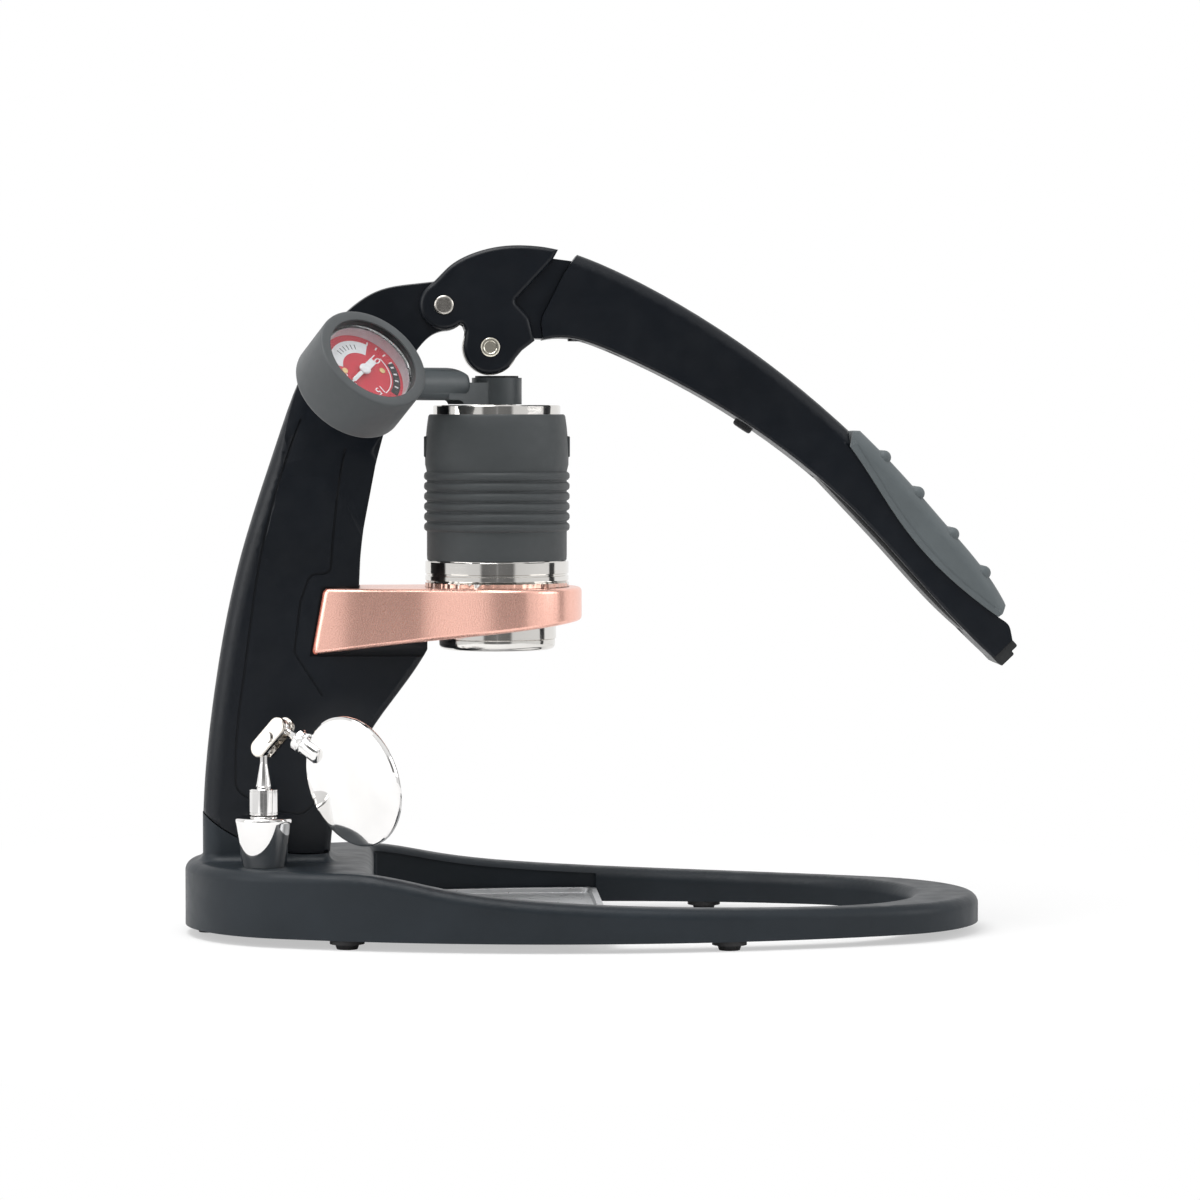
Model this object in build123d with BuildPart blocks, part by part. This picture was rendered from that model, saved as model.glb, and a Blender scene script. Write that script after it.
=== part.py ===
from build123d import *
import os
from math import cos, hypot, pi, radians, sin, sqrt

# Lever espresso machine. A curved post stands in an oval base ring and carries a long
# lever, whose roller presses a plunger down through a brew cylinder. A copper fork on the
# post holds the brew head, a gauge on the plunger shows the pressure, and a small mirror
# on a jointed stand looks up at the basket.
# Millimetres. +X runs along the base towards the lever's grip, +Z is up, the user works
# from -Y, and the origin is the middle of the footprint on the standing surface.

os.makedirs("parts", exist_ok=True)

# Fits
seat_gap = 0.05  # around pieces that are pressed, screwed or glued together
running_gap = 0.05  # around a shaft that turns in its hole
moving_gap = 0.3  # between pieces that move past each other

# Overall
overall_length = 319.2

# Base ring
base_length = 306.0
base_width = 153.0
base_end_radius = 58.0
rail_width = 13.0
right_rim_width = 26.5
base_bottom = 3.6
ledge_top = 28.4
ledge_end_x = -98.0
rail_low_top = 14.5
base_edge_radius = 4.2
rail_inner_radius = 5.0
platform_wall = 5.0
platform_roof = 6.0
tray_recess_depth = 1.8
tray_recess_drop = 2.4
lug_length = 12.0
lug_reach = 5.0
lug_thickness = 2.6
foot_pad_radius = 6.5
foot_tip_radius = 3.9
foot_stub = 2.0
foot_positions_x = (-97.0, 45.0)
end_foot_inset = 9.0

# Drip tray
tray_left_x = -86.5
tray_length = 88.0
tray_height = 3.2
tray_wall_lean = 12.0
tray_sheet = 1.2
tray_rim = 3.0
tray_corner_radius = 4.0
tray_end_gap = 0.8
tray_rail_gap = 0.4

# Post
post_half_width = 16.5
post_top_half_width = 11.6
post_back_radius = 7.5
post_front_radius = 2.5
collar_back_x = -152.5
collar_front_x = -104.2
collar_back_z = 47.0
collar_front_z = 31.0
seam_gap = 0.6
flare_radius = 3.5
tenon_length = 37.0
tenon_half_width = 11.0
tenon_bottom = 14.5
groove_width = 0.9
groove_depth = 0.6
neck_half_width = 15.0
neck_gap = 0.8
base_screw_radius = 3.0
base_screw_head_radius = 5.0
base_screw_head_height = 4.6
base_screw_spacing = 18.0
base_screw_grip = 12.0

# Lever pivot and cam
pivot_x = -60.1
pivot_z = 240.44
cam_reach_x = 17.64
cam_drop = 16.02
bolt_radius = 3.0
bolt_head_radius = 3.8
bolt_head_height = 1.6
bolt_head_proud = 0.5
bolt_socket_radius = 1.8
bush_wall = 2.0
post_end_radius = 9.6

# Lever head
head_half_width = 14.8
cheek_gap_half = 11.9
pivot_lobe_radius = 9.3
cam_lobe_radius = 10.2
slot_reach = 10.8
roller_radius = 10.5
roller_side_gap = 0.4
roller_pocket_gap = 0.9
head_edge_radius = 1.8
spigot_half_width = 11.5
neck_spigot_half_width = 12.6
arm_screw_radius = 2.0
arm_screw_head_radius = 3.5
arm_screw_head_height = 2.6
arm_screw_length = 9.0

# Lever arm
arm_half_width = 14.8
arm_top_radius = 5.0
arm_bottom_radius = 1.2
cover_half_width = 10.5
grip_half_width = 15.8
grip_edge_radius = 5.0
rib_radius = 2.7
rib_half_length = 14.5
band_width = 2.2
band_proud = 0.4
end_cap_thickness = 3.1
bumper_radius = 3.9
bumper_depth = 3.0
bumper_proud = 2.0
end_screw_radius = 1.5
end_screw_head_radius = 2.6
end_screw_head_height = 1.6
end_screw_grip = 6.0

# Brew head
axis_x = -39.7
bore_radius = 23.0
sleeve_radius = 27.6
cylinder_radius = 25.2
flange_radius = 27.6
top_flange_radius = 24.5
basket_body_radius = 22.8
basket_bottom_z = 108.7
basket_step_z = 113.0
holder_top_z = 132.7
basket_rim_top_z = 134.9
cylinder_ring_top_z = 142.7
sleeve_top_z = 198.9
cylinder_top_z = 202.4
sleeve_rib_count = 6
sleeve_rib_pitch = 3.9
sleeve_rib_first_z = 155.9
sleeve_foot_radius = 26.9
sleeve_wall_radius = 27.1
sleeve_mouth_radius = 26.2
sleeve_taper_z = 186.0
tab_z = 187.5
tab_width = 7.0
tab_height = 8.0
tab_proud = 0.5
basket_bore_radius = 21.0
basket_floor = 1.5
floor_hole_radius = 0.9
floor_hole_pitch = 5.0
basket_base_radius = 22.4
outlet_radius = 3.0
screen_drop = 0.5
screen_thickness = 1.3

# Copper holder
holder_ring_radius = 32.6
holder_prong_outer = 20.4
holder_prong_inner = 15.4
holder_tip_x = -110.6
holder_throat_x = -92.4
holder_front_bottom_z = 119.8
holder_back_bottom_z = 107.6
holder_step_z = 124.0
holder_join_radius = 9.0
holder_tip_radius = 2.2
bore_gap = 0.6

# Plunger
piston_bottom_z = 136.6
piston_height = 13.0
rod_radius = 6.0
collar_radius = 9.6
collar_height = 10.2
pad_radius = 8.3
pad_top_z = 213.62
pad_sink = 1.5
pad_stud_radius = 2.5
pad_stud_depth = 7.0
nub_count = 12
nub_reach = 2.2
nub_height = 0.8
piston_gap = 0.09
seal_gap = 0.05
seal_depth = 2.0
seal_height = 3.0
stud_radius = 4.0
stud_depth = 9.0
rod_shoulder_radius = 7.4

# Gauge
gauge_reach = 66.0
gauge_bearing = 36.7
gauge_tilt = 37.0
gauge_z = 212.5
gauge_stem_z = 210.4
gauge_stem_radius = 6.2
gauge_cover_radius = 22.2
gauge_lip_width = 3.2
gauge_back = 9.5
gauge_front = 12.5
gauge_case_radius = 19.6
gauge_case_wall = 2.4
gauge_lens_ledge = 8.0
gauge_lens_thickness = 1.5
gauge_dial_level = 3.0
gauge_dial_thickness = 0.6
gauge_needle_level = 4.2
gauge_needle_thickness = 0.6
gauge_needle_length = 13.0
gauge_needle_tail = 4.5
needle_angle = 215.0
gauge_arbor_radius = 0.8
gauge_works_radius = 10.5
gauge_screw_reach = 8.6
gauge_nipple_radius = 3.0
elbow_half_width = 5.5
elbow_top_z = 211.0
elbow_foot = 3.5
elbow_throat = 10.5
stem_relief_radius = 1.5
stem_start = 16.3
stem_end_radius = 3.0

# Mirror on its jointed stand
stand_x = -128.5
stand_y = -32.0
stand_foot_height = 18.9
stand_foot_top_radius = 11.0
stand_foot_bottom_radius = 8.2
stand_nut_radius = 5.6
stand_nut_height = 10.0
stand_stem_radius = 3.2
stand_neck_radius = 1.4
magnet_radius = 6.0
magnet_height = 4.0
ball_radius = 3.0
ball_clearance = 0.06
lower_ball_z = 73.2
link_normal = (-0.58, -0.81, 0.1)
link_rise = (6.9, -3.95, 8.3)
link_length = 11.5
link_half_gap = 2.0
link_sheet = 1.6
link_end_radius = 3.6
link_screw_radius = 1.2
mirror_back_normal = (-0.712, -0.604, -0.356)
mirror_stud_direction = (0.687, -0.498, -0.530)
mirror_centre_reach = 40.5
mirror_radius = 25.0
mirror_thickness = 2.4
mirror_glass_thickness = 0.8
mirror_glass_rim = 1.2
boss_radius = 3.6
boss_overlap = 6.8
stud_nut_radius = 4.4


def on_circle(centre, radius, angle):
    """Point of a circle at an angle in degrees."""
    return (centre[0] + radius * cos(radians(angle)), centre[1] + radius * sin(radians(angle)))


# Plan geometry of the base: four tangent arcs
base_x = (base_length - overall_length) / 2
base_half_length = base_length / 2
base_half_width = base_width / 2
end_centre = base_half_length - base_end_radius
side_radius = (end_centre**2 + base_half_width**2 - base_end_radius**2) / (
    2 * (base_half_width - base_end_radius)
)
side_centre = side_radius - base_half_width
tangent_x = end_centre / hypot(end_centre, side_centre)
tangent_y = side_centre / hypot(end_centre, side_centre)


def base_oval(inset):
    """Oval of the base ring in plan, drawn inwards by the inset."""
    radius = base_end_radius - inset
    x = end_centre + radius * tangent_x
    y = radius * tangent_y
    with BuildSketch() as outline:
        with BuildLine():
            ThreePointArc((base_x - x, y), (base_x, base_half_width - inset), (base_x + x, y))
            ThreePointArc((base_x + x, y), (base_x + base_half_length - inset, 0), (base_x + x, -y))
            ThreePointArc((base_x + x, -y), (base_x, inset - base_half_width), (base_x - x, -y))
            ThreePointArc((base_x - x, -y), (base_x - base_half_length + inset, 0), (base_x - x, y))
        make_face()
    return outline.sketch


def half_width_at(x, inset):
    """Half the distance between the two side arcs at x, with the arcs drawn inwards."""
    return sqrt((side_radius - inset) ** 2 - (x - base_x) ** 2) - side_centre


def side_band(inset, x_low, x_high, corner):
    """Plan shape between the two side arcs, closed by straight ends with round corners."""
    x_mid = (x_low + x_high) / 2
    low, mid, high = (half_width_at(x, inset) for x in (x_low, x_mid, x_high))
    with BuildSketch() as outline:
        with BuildLine():
            ThreePointArc((x_low, low), (x_mid, mid), (x_high, high))
            Line((x_high, high), (x_high, -high))
            ThreePointArc((x_high, -high), (x_mid, -mid), (x_low, -low))
            Line((x_low, -low), (x_low, low))
        make_face()
        fillet(outline.vertices(), radius=corner)
    return outline.sketch


# Ring opening: side arcs, a round right end and a straight left end at the tray
opening_left_x = tray_left_x - tray_end_gap
opening_reach = base_half_length - right_rim_width
opening_side_radius = side_radius - rail_width
opening_end_radius = (opening_side_radius**2 - side_centre**2 - opening_reach**2) / (
    2 * (opening_side_radius - opening_reach)
)
opening_end_centre = opening_reach - opening_end_radius
opening_slant = hypot(opening_end_centre, side_centre)
opening_tangent = (
    base_x + opening_end_centre + opening_end_radius * opening_end_centre / opening_slant,
    opening_end_radius * side_centre / opening_slant,
)
opening_corner_y = half_width_at(opening_left_x, rail_width)
with BuildSketch() as ring_opening:
    with BuildLine():
        ThreePointArc(
            (opening_left_x, opening_corner_y),
            (base_x, base_half_width - rail_width),
            opening_tangent,
        )
        ThreePointArc(
            opening_tangent,
            (base_x + opening_reach, 0),
            (opening_tangent[0], -opening_tangent[1]),
        )
        ThreePointArc(
            (opening_tangent[0], -opening_tangent[1]),
            (base_x, rail_width - base_half_width),
            (opening_left_x, -opening_corner_y),
        )
        Line((opening_left_x, -opening_corner_y), (opening_left_x, opening_corner_y))
    make_face()
    fillet(ring_opening.vertices().group_by(Axis.X)[0], radius=tray_corner_radius)

# Side outline of the base: a level ledge under the post, then a long fall to the right rim
base_left_x = -overall_length / 2
base_right_x = base_left_x + base_length


def base_side(drop):
    """Side outline of the base, with its top lowered by the drop."""
    top = ledge_top - drop
    with BuildSketch(Plane.XZ) as outline:
        with BuildLine():
            Line((base_left_x - 1, base_bottom), (base_left_x - 1, top))
            Line((base_left_x - 1, top), (ledge_end_x, top))
            Spline(
                (ledge_end_x, top),
                (-62.0, 23.2 - drop),
                (-20.0, 18.4 - drop),
                (35.0, 15.9 - drop),
                (base_right_x + 1, rail_low_top - drop),
                tangents=[(1, 0), (1, 0)],
            )
            Line((base_right_x + 1, rail_low_top - drop), (base_right_x + 1, base_bottom))
            Line((base_right_x + 1, base_bottom), (base_left_x - 1, base_bottom))
        make_face()
    return outline.sketch


# Seam between the base's collar and the post
collar_mid = (collar_back_x + 21.0, collar_front_z + 3.4)


def seam_outline(rise, level):
    """Side outline of what lies between the seam and a level above or below it."""
    with BuildSketch(Plane.XZ) as outline:
        with BuildLine():
            ThreePointArc(
                (collar_back_x - 8, collar_back_z + 9.5 + rise),
                (collar_mid[0], collar_mid[1] + rise),
                (collar_front_x + 8, collar_front_z + 2.5 + rise),
            )
            Line((collar_front_x + 8, collar_front_z + 2.5 + rise), (collar_front_x + 8, level))
            Line((collar_front_x + 8, level), (collar_back_x - 8, level))
            Line((collar_back_x - 8, level), (collar_back_x - 8, collar_back_z + 9.5 + rise))
        make_face()
    return outline.sketch


post_top_z = pivot_z + post_end_radius
above_seam = seam_outline(0, post_top_z)
below_seam = seam_outline(seam_gap, base_bottom)

# Collar of the base, in which the post's tenon sits
collar_centre_x = (collar_back_x + collar_front_x) / 2
collar_length = collar_front_x - collar_back_x
collar_block_top = collar_back_z + 20
with BuildPart() as collar_form:
    with BuildSketch(Plane.XY.offset(base_bottom)):
        with Locations((collar_centre_x, 0)):
            Rectangle(collar_length, 2 * post_half_width)
    extrude(amount=collar_block_top)
    upright = collar_form.edges().filter_by(Axis.Z).group_by(Axis.X)
    fillet(upright[0], radius=post_back_radius)
    fillet(upright[-1], radius=post_front_radius)
    extrude(above_seam, amount=base_width, both=True, mode=Mode.SUBTRACT)

# Base ring
tenon_centre_x = collar_centre_x
socket_floor_z = tenon_bottom - seat_gap
counterbore_top_z = base_bottom + base_screw_head_height + 1.0
screw_places = [(tenon_centre_x - base_screw_spacing / 2, 0), (tenon_centre_x + base_screw_spacing / 2, 0)]
lug_top_z = base_bottom + lug_thickness
tray_right_x = tray_left_x + tray_length
lug_places_x = (tray_left_x + 15.0, tray_right_x - 15.0)
with BuildPart() as base_ring:
    extrude(base_oval(0), amount=collar_block_top)
    extrude(base_side(0), amount=base_width, both=True, mode=Mode.INTERSECT)
    outer_edges = base_ring.edges().filter_by(Axis.Z, reverse=True).filter_by(Axis.Y, reverse=True)
    fillet(outer_edges.filter_by(lambda edge: edge.center().Z > base_bottom + 1), radius=base_edge_radius)
    extrude(ring_opening.sketch, amount=collar_block_top, mode=Mode.SUBTRACT)
    inner_edges = base_ring.edges().filter_by(
        lambda edge: edge.center().Z > base_bottom + 1
        and edge.bounding_box().max.Z - edge.center().Z < 12
        and abs(edge.center().Y) < half_width_at(min(edge.center().X, 60), rail_width) + 1
        and edge.center().X > opening_left_x + 1
        and not edge.geom_type == GeomType.LINE
    )
    fillet(inner_edges.filter_by(lambda edge: edge.bounding_box().size.X > 4), radius=rail_inner_radius)
    with BuildPart(mode=Mode.PRIVATE) as recess:
        extrude(
            side_band(rail_width - tray_recess_depth, opening_left_x, tray_right_x, tray_recess_depth),
            amount=collar_block_top,
        )
        extrude(base_side(tray_recess_drop), amount=base_width, both=True, mode=Mode.INTERSECT)
    add(recess.part, mode=Mode.SUBTRACT)
    with BuildSketch(Plane.XY.offset(base_bottom)) as underside_pocket:
        add(base_oval(platform_wall))
        with Locations((opening_left_x - platform_wall, 0)):
            Rectangle(base_length, base_width, align=(Align.MAX, Align.CENTER), mode=Mode.INTERSECT)
        with Locations((collar_centre_x, 0)):
            Rectangle(collar_length, 2 * post_half_width, mode=Mode.SUBTRACT)
    extrude(amount=ledge_top - platform_roof - base_bottom, mode=Mode.SUBTRACT)
    add(collar_form.part)
    flare = base_ring.edges().filter_by_position(Axis.Z, ledge_top - 0.01, ledge_top + 0.01)
    flare = flare.filter_by_position(Axis.X, collar_back_x - 0.5, collar_front_x + 0.5)
    fillet(
        flare.filter_by(lambda edge: abs(edge.center().Y) < post_half_width + 0.5),
        radius=flare_radius,
    )
    with BuildSketch(Plane.XY.offset(socket_floor_z)):
        with Locations((tenon_centre_x, 0)):
            RectangleRounded(
                tenon_length + 2 * seat_gap, 2 * (tenon_half_width + seat_gap), post_front_radius
            )
    extrude(amount=collar_block_top, mode=Mode.SUBTRACT)
    with Locations(*[(x, y, base_bottom) for x, y in screw_places]):
        Cylinder(
            base_screw_radius + seat_gap,
            collar_block_top,
            align=(Align.CENTER, Align.CENTER, Align.MIN),
            mode=Mode.SUBTRACT,
        )
        Cylinder(
            base_screw_head_radius + seat_gap,
            counterbore_top_z - base_bottom,
            align=(Align.CENTER, Align.CENTER, Align.MIN),
            mode=Mode.SUBTRACT,
        )
    for lug_x in lug_places_x:
        for side in (-1, 1):
            lug_y = side * half_width_at(lug_x, rail_width - tray_recess_depth)
            with Locations((lug_x, lug_y, base_bottom)):
                Box(lug_length, 2 * lug_reach, lug_thickness, align=(Align.CENTER, Align.CENTER, Align.MIN))
base_ring.part.label = "base_ring"
export_step(base_ring.part, "parts/base_ring.step")

# Rubber feet: two under each rail and one under each end
rail_feet = [
    (x, side * (half_width_at(x, rail_width) + rail_width / 2)) for x in foot_positions_x for side in (-1, 1)
]
end_feet = [(base_left_x + end_foot_inset, 0), (base_right_x - end_foot_inset, 0)]
with BuildPart() as rubber_feet:
    with BuildSketch(Plane.XY):
        with Locations(*rail_feet, *end_feet):
            Circle(foot_tip_radius)
    extrude(amount=foot_stub, taper=-20)
    with BuildSketch(Plane.XY.offset(foot_stub)):
        with Locations(*rail_feet, *end_feet):
            Circle(foot_pad_radius)
    extrude(amount=base_bottom - foot_stub)
rubber_feet.part.label = "rubber_feet"
export_step(rubber_feet.part, "parts/rubber_feet.step")

# Post: a curved casting, round at its back edge, with a neck for the copper fork
pivot = (pivot_x, pivot_z)
shelf_tip_x = -66.6
holder_slope = (holder_front_bottom_z - holder_back_bottom_z) / (
    axis_x + holder_ring_radius - holder_tip_x
)


def holder_bottom_at(x):
    """Height of the fork's sloping underside."""
    return holder_back_bottom_z + (x - holder_tip_x) * holder_slope


neck_front_x = holder_throat_x - moving_gap
fork_ceiling_z = holder_bottom_at(shelf_tip_x)
shelf_top_z = fork_ceiling_z - moving_gap
shelf_tip_height = 3.2


def between(low, high, share):
    """Point at a share of the way across and a share of the way up between two points."""
    return (low[0] + (high[0] - low[0]) * share[0], low[1] + (high[1] - low[1]) * share[1])


back_foot = (collar_back_x, collar_back_z)
back_crown = (pivot_x, pivot_z + post_end_radius)
post_back_shares = [(0.055, 0.244), (0.154, 0.472), (0.312, 0.699), (0.518, 0.901), (0.709, 0.976)]
front_foot = (neck_front_x, holder_top_z + neck_gap)
front_crown = (pivot_x, pivot_z - post_end_radius)
post_front_shares = [(0.748, 0.95), (0.488, 0.801), (0.285, 0.57), (0.107, 0.333)]
with BuildSketch(Plane.XZ) as post_side:
    with BuildLine():
        Spline(
            (collar_back_x, collar_back_z - 25),
            (collar_back_x + 0.2, collar_back_z),
            *[between(back_foot, back_crown, share) for share in post_back_shares],
            (pivot_x, pivot_z + post_end_radius),
            tangents=[(0, 1), (1, 0.15)],
        )
        ThreePointArc(
            (pivot_x, pivot_z + post_end_radius),
            (pivot_x + post_end_radius, pivot_z),
            (pivot_x, pivot_z - post_end_radius),
        )
        Spline(
            (pivot_x, pivot_z - post_end_radius),
            *[between(front_foot, front_crown, share) for share in post_front_shares],
            (neck_front_x, holder_top_z + neck_gap),
            tangents=[(-1, -0.15), (-0.03, -1)],
        )
        Polyline(
            (neck_front_x, holder_top_z + neck_gap),
            (neck_front_x, shelf_top_z),
            (shelf_tip_x, shelf_top_z),
            (shelf_tip_x, shelf_top_z - shelf_tip_height),
        )
        Spline(
            (shelf_tip_x, shelf_top_z - shelf_tip_height),
            (-87.6, 79.2),
            (-101.0, 50.0),
            (collar_front_x, collar_back_z - 25),
            tangents=[(-0.55, -1), (0, -1)],
        )
        Line((collar_front_x, collar_back_z - 25), (collar_back_x, collar_back_z - 25))
    make_face()


def post_front(inset):
    """Front outline of the post: straight sides that draw in between the lever's cheeks."""
    foot = post_half_width - inset
    head = post_top_half_width - inset
    with BuildSketch(Plane.YZ) as outline:
        with BuildLine():
            Line((0, 0), (foot, 0))
            Line((foot, 0), (foot, 165.0))
            Spline((foot, 165.0), (head, 222.0), tangents=[(0, 1), (0, 1)])
            Line((head, 222.0), (head, post_top_z + 20))
            Line((head, post_top_z + 20), (0, post_top_z + 20))
            mirror(about=Plane.YZ)
        make_face()
    return outline.sketch


# Grooves that outline the inset panel on both sides of the post
panel_back = [(-114.5, 197.0), (-129.5, 147.0), (-136.3, 100.0), (-139.6, 66.0)]
panel_front = [(-97.6, 186.0), (-102.6, 150.0)]
with BuildSketch(Plane.XZ) as panel_lines:
    with BuildLine():
        back_line = Spline(*panel_back, tangents=[(-0.4, -1), (0, -1)])
        FilletPolyline(
            back_line @ 1,
            (-139.6, 56.0),
            (-127.0, 48.5),
            (-114.0, 46.5),
            (-104.6, 57.0),
            radius=6.0,
        )
    trace(line_width=groove_width)
    with BuildLine():
        front_line = Spline(*panel_front, tangents=[(-0.24, -1), (-0.1, -1)])
        FilletPolyline(
            front_line @ 1,
            (-103.3, 138.6),
            (-111.2, 138.0),
            (-114.8, 128.0),
            (-117.2, 108.5),
            (-106.6, 92.0),
            radius=3.4,
        )
    trace(line_width=groove_width)
with BuildPart() as panel_grooves:
    extrude(panel_lines.sketch, amount=base_width, both=True)
    extrude(post_front(groove_depth), amount=overall_length, both=True, mode=Mode.SUBTRACT)

bush_radius = bolt_radius + running_gap + bush_wall
# Recess in each side of the neck, in which a prong of the fork lies
prong_tip_lean = 4.6
with BuildSketch(Plane.XZ) as neck_recess:
    with BuildLine():
        Polyline(
            (holder_tip_x - neck_gap, holder_back_bottom_z - neck_gap),
            (holder_tip_x - neck_gap + prong_tip_lean, holder_top_z + neck_gap),
            (shelf_tip_x + 10, holder_top_z + neck_gap),
            (shelf_tip_x + 10, holder_back_bottom_z - neck_gap),
            close=True,
        )
    make_face()
with BuildPart() as neck_cut:
    extrude(neck_recess.sketch, amount=base_width, both=True)
    with Locations((shelf_tip_x, 0, holder_top_z)):
        Box(base_length, 2 * neck_half_width, base_width, mode=Mode.SUBTRACT)

with BuildPart() as post_frame:
    extrude(post_side.sketch, amount=post_half_width, both=True)
    side_edges = post_frame.edges().filter_by(Axis.Y, reverse=True)
    fillet(side_edges.filter_by(lambda edge: edge.length > 200), radius=post_back_radius)
    side_edges = post_frame.edges().filter_by(lambda edge: abs(edge.center().Y) > post_half_width - 0.1)
    fillet(side_edges.filter_by(lambda edge: 90 < edge.length < 105), radius=post_front_radius)
    extrude(post_front(0), amount=overall_length, both=True, mode=Mode.INTERSECT)
    extrude(below_seam, amount=base_width, both=True, mode=Mode.SUBTRACT)
    add(panel_grooves.part, mode=Mode.SUBTRACT)
    add(neck_cut.part, mode=Mode.SUBTRACT)
    with BuildSketch(Plane.XY.offset(tenon_bottom)):
        with Locations((tenon_centre_x, 0)):
            RectangleRounded(tenon_length, 2 * tenon_half_width, post_front_radius)
    extrude(amount=collar_back_z + 10 - tenon_bottom)
    with Locations(*[(x, y, tenon_bottom) for x, y in screw_places]):
        Cylinder(
            base_screw_radius + seat_gap,
            2 * base_screw_grip,
            mode=Mode.SUBTRACT,
        )
    with Locations(Plane.XZ.location):
        with Locations((pivot_x, pivot_z)):
            Cylinder(bush_radius + seat_gap, base_width, mode=Mode.SUBTRACT)
post_frame.part.label = "post_frame"
export_step(post_frame.part, "parts/post_frame.step")

# Screws that hold the post in the base, put in from below
screw_head_z = counterbore_top_z - base_screw_head_height
with BuildPart() as base_screws:
    with Locations(*[(x, y, screw_head_z) for x, y in screw_places]):
        Cylinder(
            base_screw_head_radius,
            base_screw_head_height - seat_gap,
            align=(Align.CENTER, Align.CENTER, Align.MIN),
        )
        Cylinder(
            base_screw_radius,
            tenon_bottom - screw_head_z + base_screw_grip - 1,
            align=(Align.CENTER, Align.CENTER, Align.MIN),
        )
    with BuildSketch(Plane.XY.offset(screw_head_z)):
        with Locations(*screw_places):
            RegularPolygon(base_screw_head_radius / 2, 6)
    extrude(amount=base_screw_head_height * 0.6, mode=Mode.SUBTRACT)
base_screws.part.label = "base_screws"
export_step(base_screws.part, "parts/base_screws.step")

# Bush in the post's eye
with BuildPart() as pivot_bush:
    with Locations(Plane.XZ.location):
        with Locations((pivot_x, pivot_z)):
            Cylinder(bush_radius, 2 * post_top_half_width)
            Cylinder(bolt_radius + running_gap, 2 * post_top_half_width, mode=Mode.SUBTRACT)
pivot_bush.part.label = "pivot_bush"
export_step(pivot_bush.part, "parts/pivot_bush.step")

# Lever head: two cheeks round the post's eye and the roller, joined by a web
cam = (pivot_x + cam_reach_x, pivot_z - cam_drop)
head_top = [
    on_circle(pivot, pivot_lobe_radius, 126),
    (-58.0, 255.2),
    (-50.4, 259.6),
    (-42.8, 262.0),
    (-33.0, 263.2),
    (-24.0, 262.8),
    (-16.6, 261.5),
]
head_shoulder = [(-19.0, 257.2), (-25.9, 249.9), (-33.4, 241.9), (-27.6, 235.6), (-25.6, 226.9)]
with BuildSketch(Plane.XZ) as head_side:
    with Locations(pivot):
        Circle(pivot_lobe_radius)
    with Locations(cam):
        Circle(cam_lobe_radius)
    with BuildLine():
        Spline(*head_top, tangents=[(0.8, 0.6), (1, -0.22)])
        FilletPolyline(head_top[-1], *head_shoulder, radius=(0.5, 6.0, 1.6, 6.0))
        Polyline(
            head_shoulder[-1],
            (-30.4, 223.2),
            on_circle(cam, cam_lobe_radius, -50),
            cam,
            on_circle(cam, cam_lobe_radius, 168),
            (pivot_x + 8.2, pivot_z - 9.84),
            (pivot_x + 6.7, pivot_z - 6.24),
            on_circle(pivot, pivot_lobe_radius, -74),
            pivot,
            head_top[0],
        )
    make_face()
    notch = head_side.vertices().filter_by(
        lambda vertex: -56 < vertex.X < -50 and cam[1] + 1 < vertex.Y < pivot_z - 1
    )
    fillet(notch, radius=1.2)

# Spigot on which the arm is plugged: a bare neck, then a tenon inside the arm
arm_heel = [(-9.2, 259.7), (-14.3, 252.6), (-22.6, 236.1), (-23.1, 233.2), (-22.3, 227.3)]
neck_points = [(-38.0, 242.0), (-20.5, 258.4), (-11.0 - moving_gap, 257.2)]
neck_points += [(x - moving_gap, z) for x, z in arm_heel[1:4]]
neck_points += [(arm_heel[4][0] - moving_gap, 227.7), (-27.5, 227.9)]
tenon_points = [(-25.0, 232.5), (-25.0, 244.0), (-13.5, 254.5), (16.0, 243.0), (11.0, 232.5)]


def side_outline(points, spread=0.0):
    """Straight-sided side outline, spread outwards for the hole that it sits in."""
    with BuildSketch(Plane.XZ) as outline:
        with BuildLine():
            Polyline(*points, close=True)
        make_face()
        if spread > 0:
            offset(amount=spread, kind=Kind.INTERSECTION)
    return outline.sketch


def cross_pins(centres, radius, length):
    """Cylinders across the object, along Y, at side-view places."""
    with BuildPart(mode=Mode.PRIVATE) as pins:
        with Locations(Plane.XZ.location):
            with Locations(*centres):
                Cylinder(radius, length)
    return pins.part


# Room between the cheeks: the post's eye and its back stay clear while the lever rises
roller_room = roller_radius + roller_pocket_gap
with BuildSketch(Plane.XZ) as cheek_slot:
    with Locations(pivot):
        Circle(slot_reach)
        Rectangle(base_length, base_width, align=(Align.MAX, Align.MIN))
        Rectangle(slot_reach, base_width, align=(Align.MIN, Align.MIN))
        Rectangle(slot_reach, base_width, align=(Align.CENTER, Align.MAX))
    with Locations(cam):
        Circle(roller_room)
        Rectangle(2 * roller_room, base_width, align=(Align.CENTER, Align.MAX))

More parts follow.
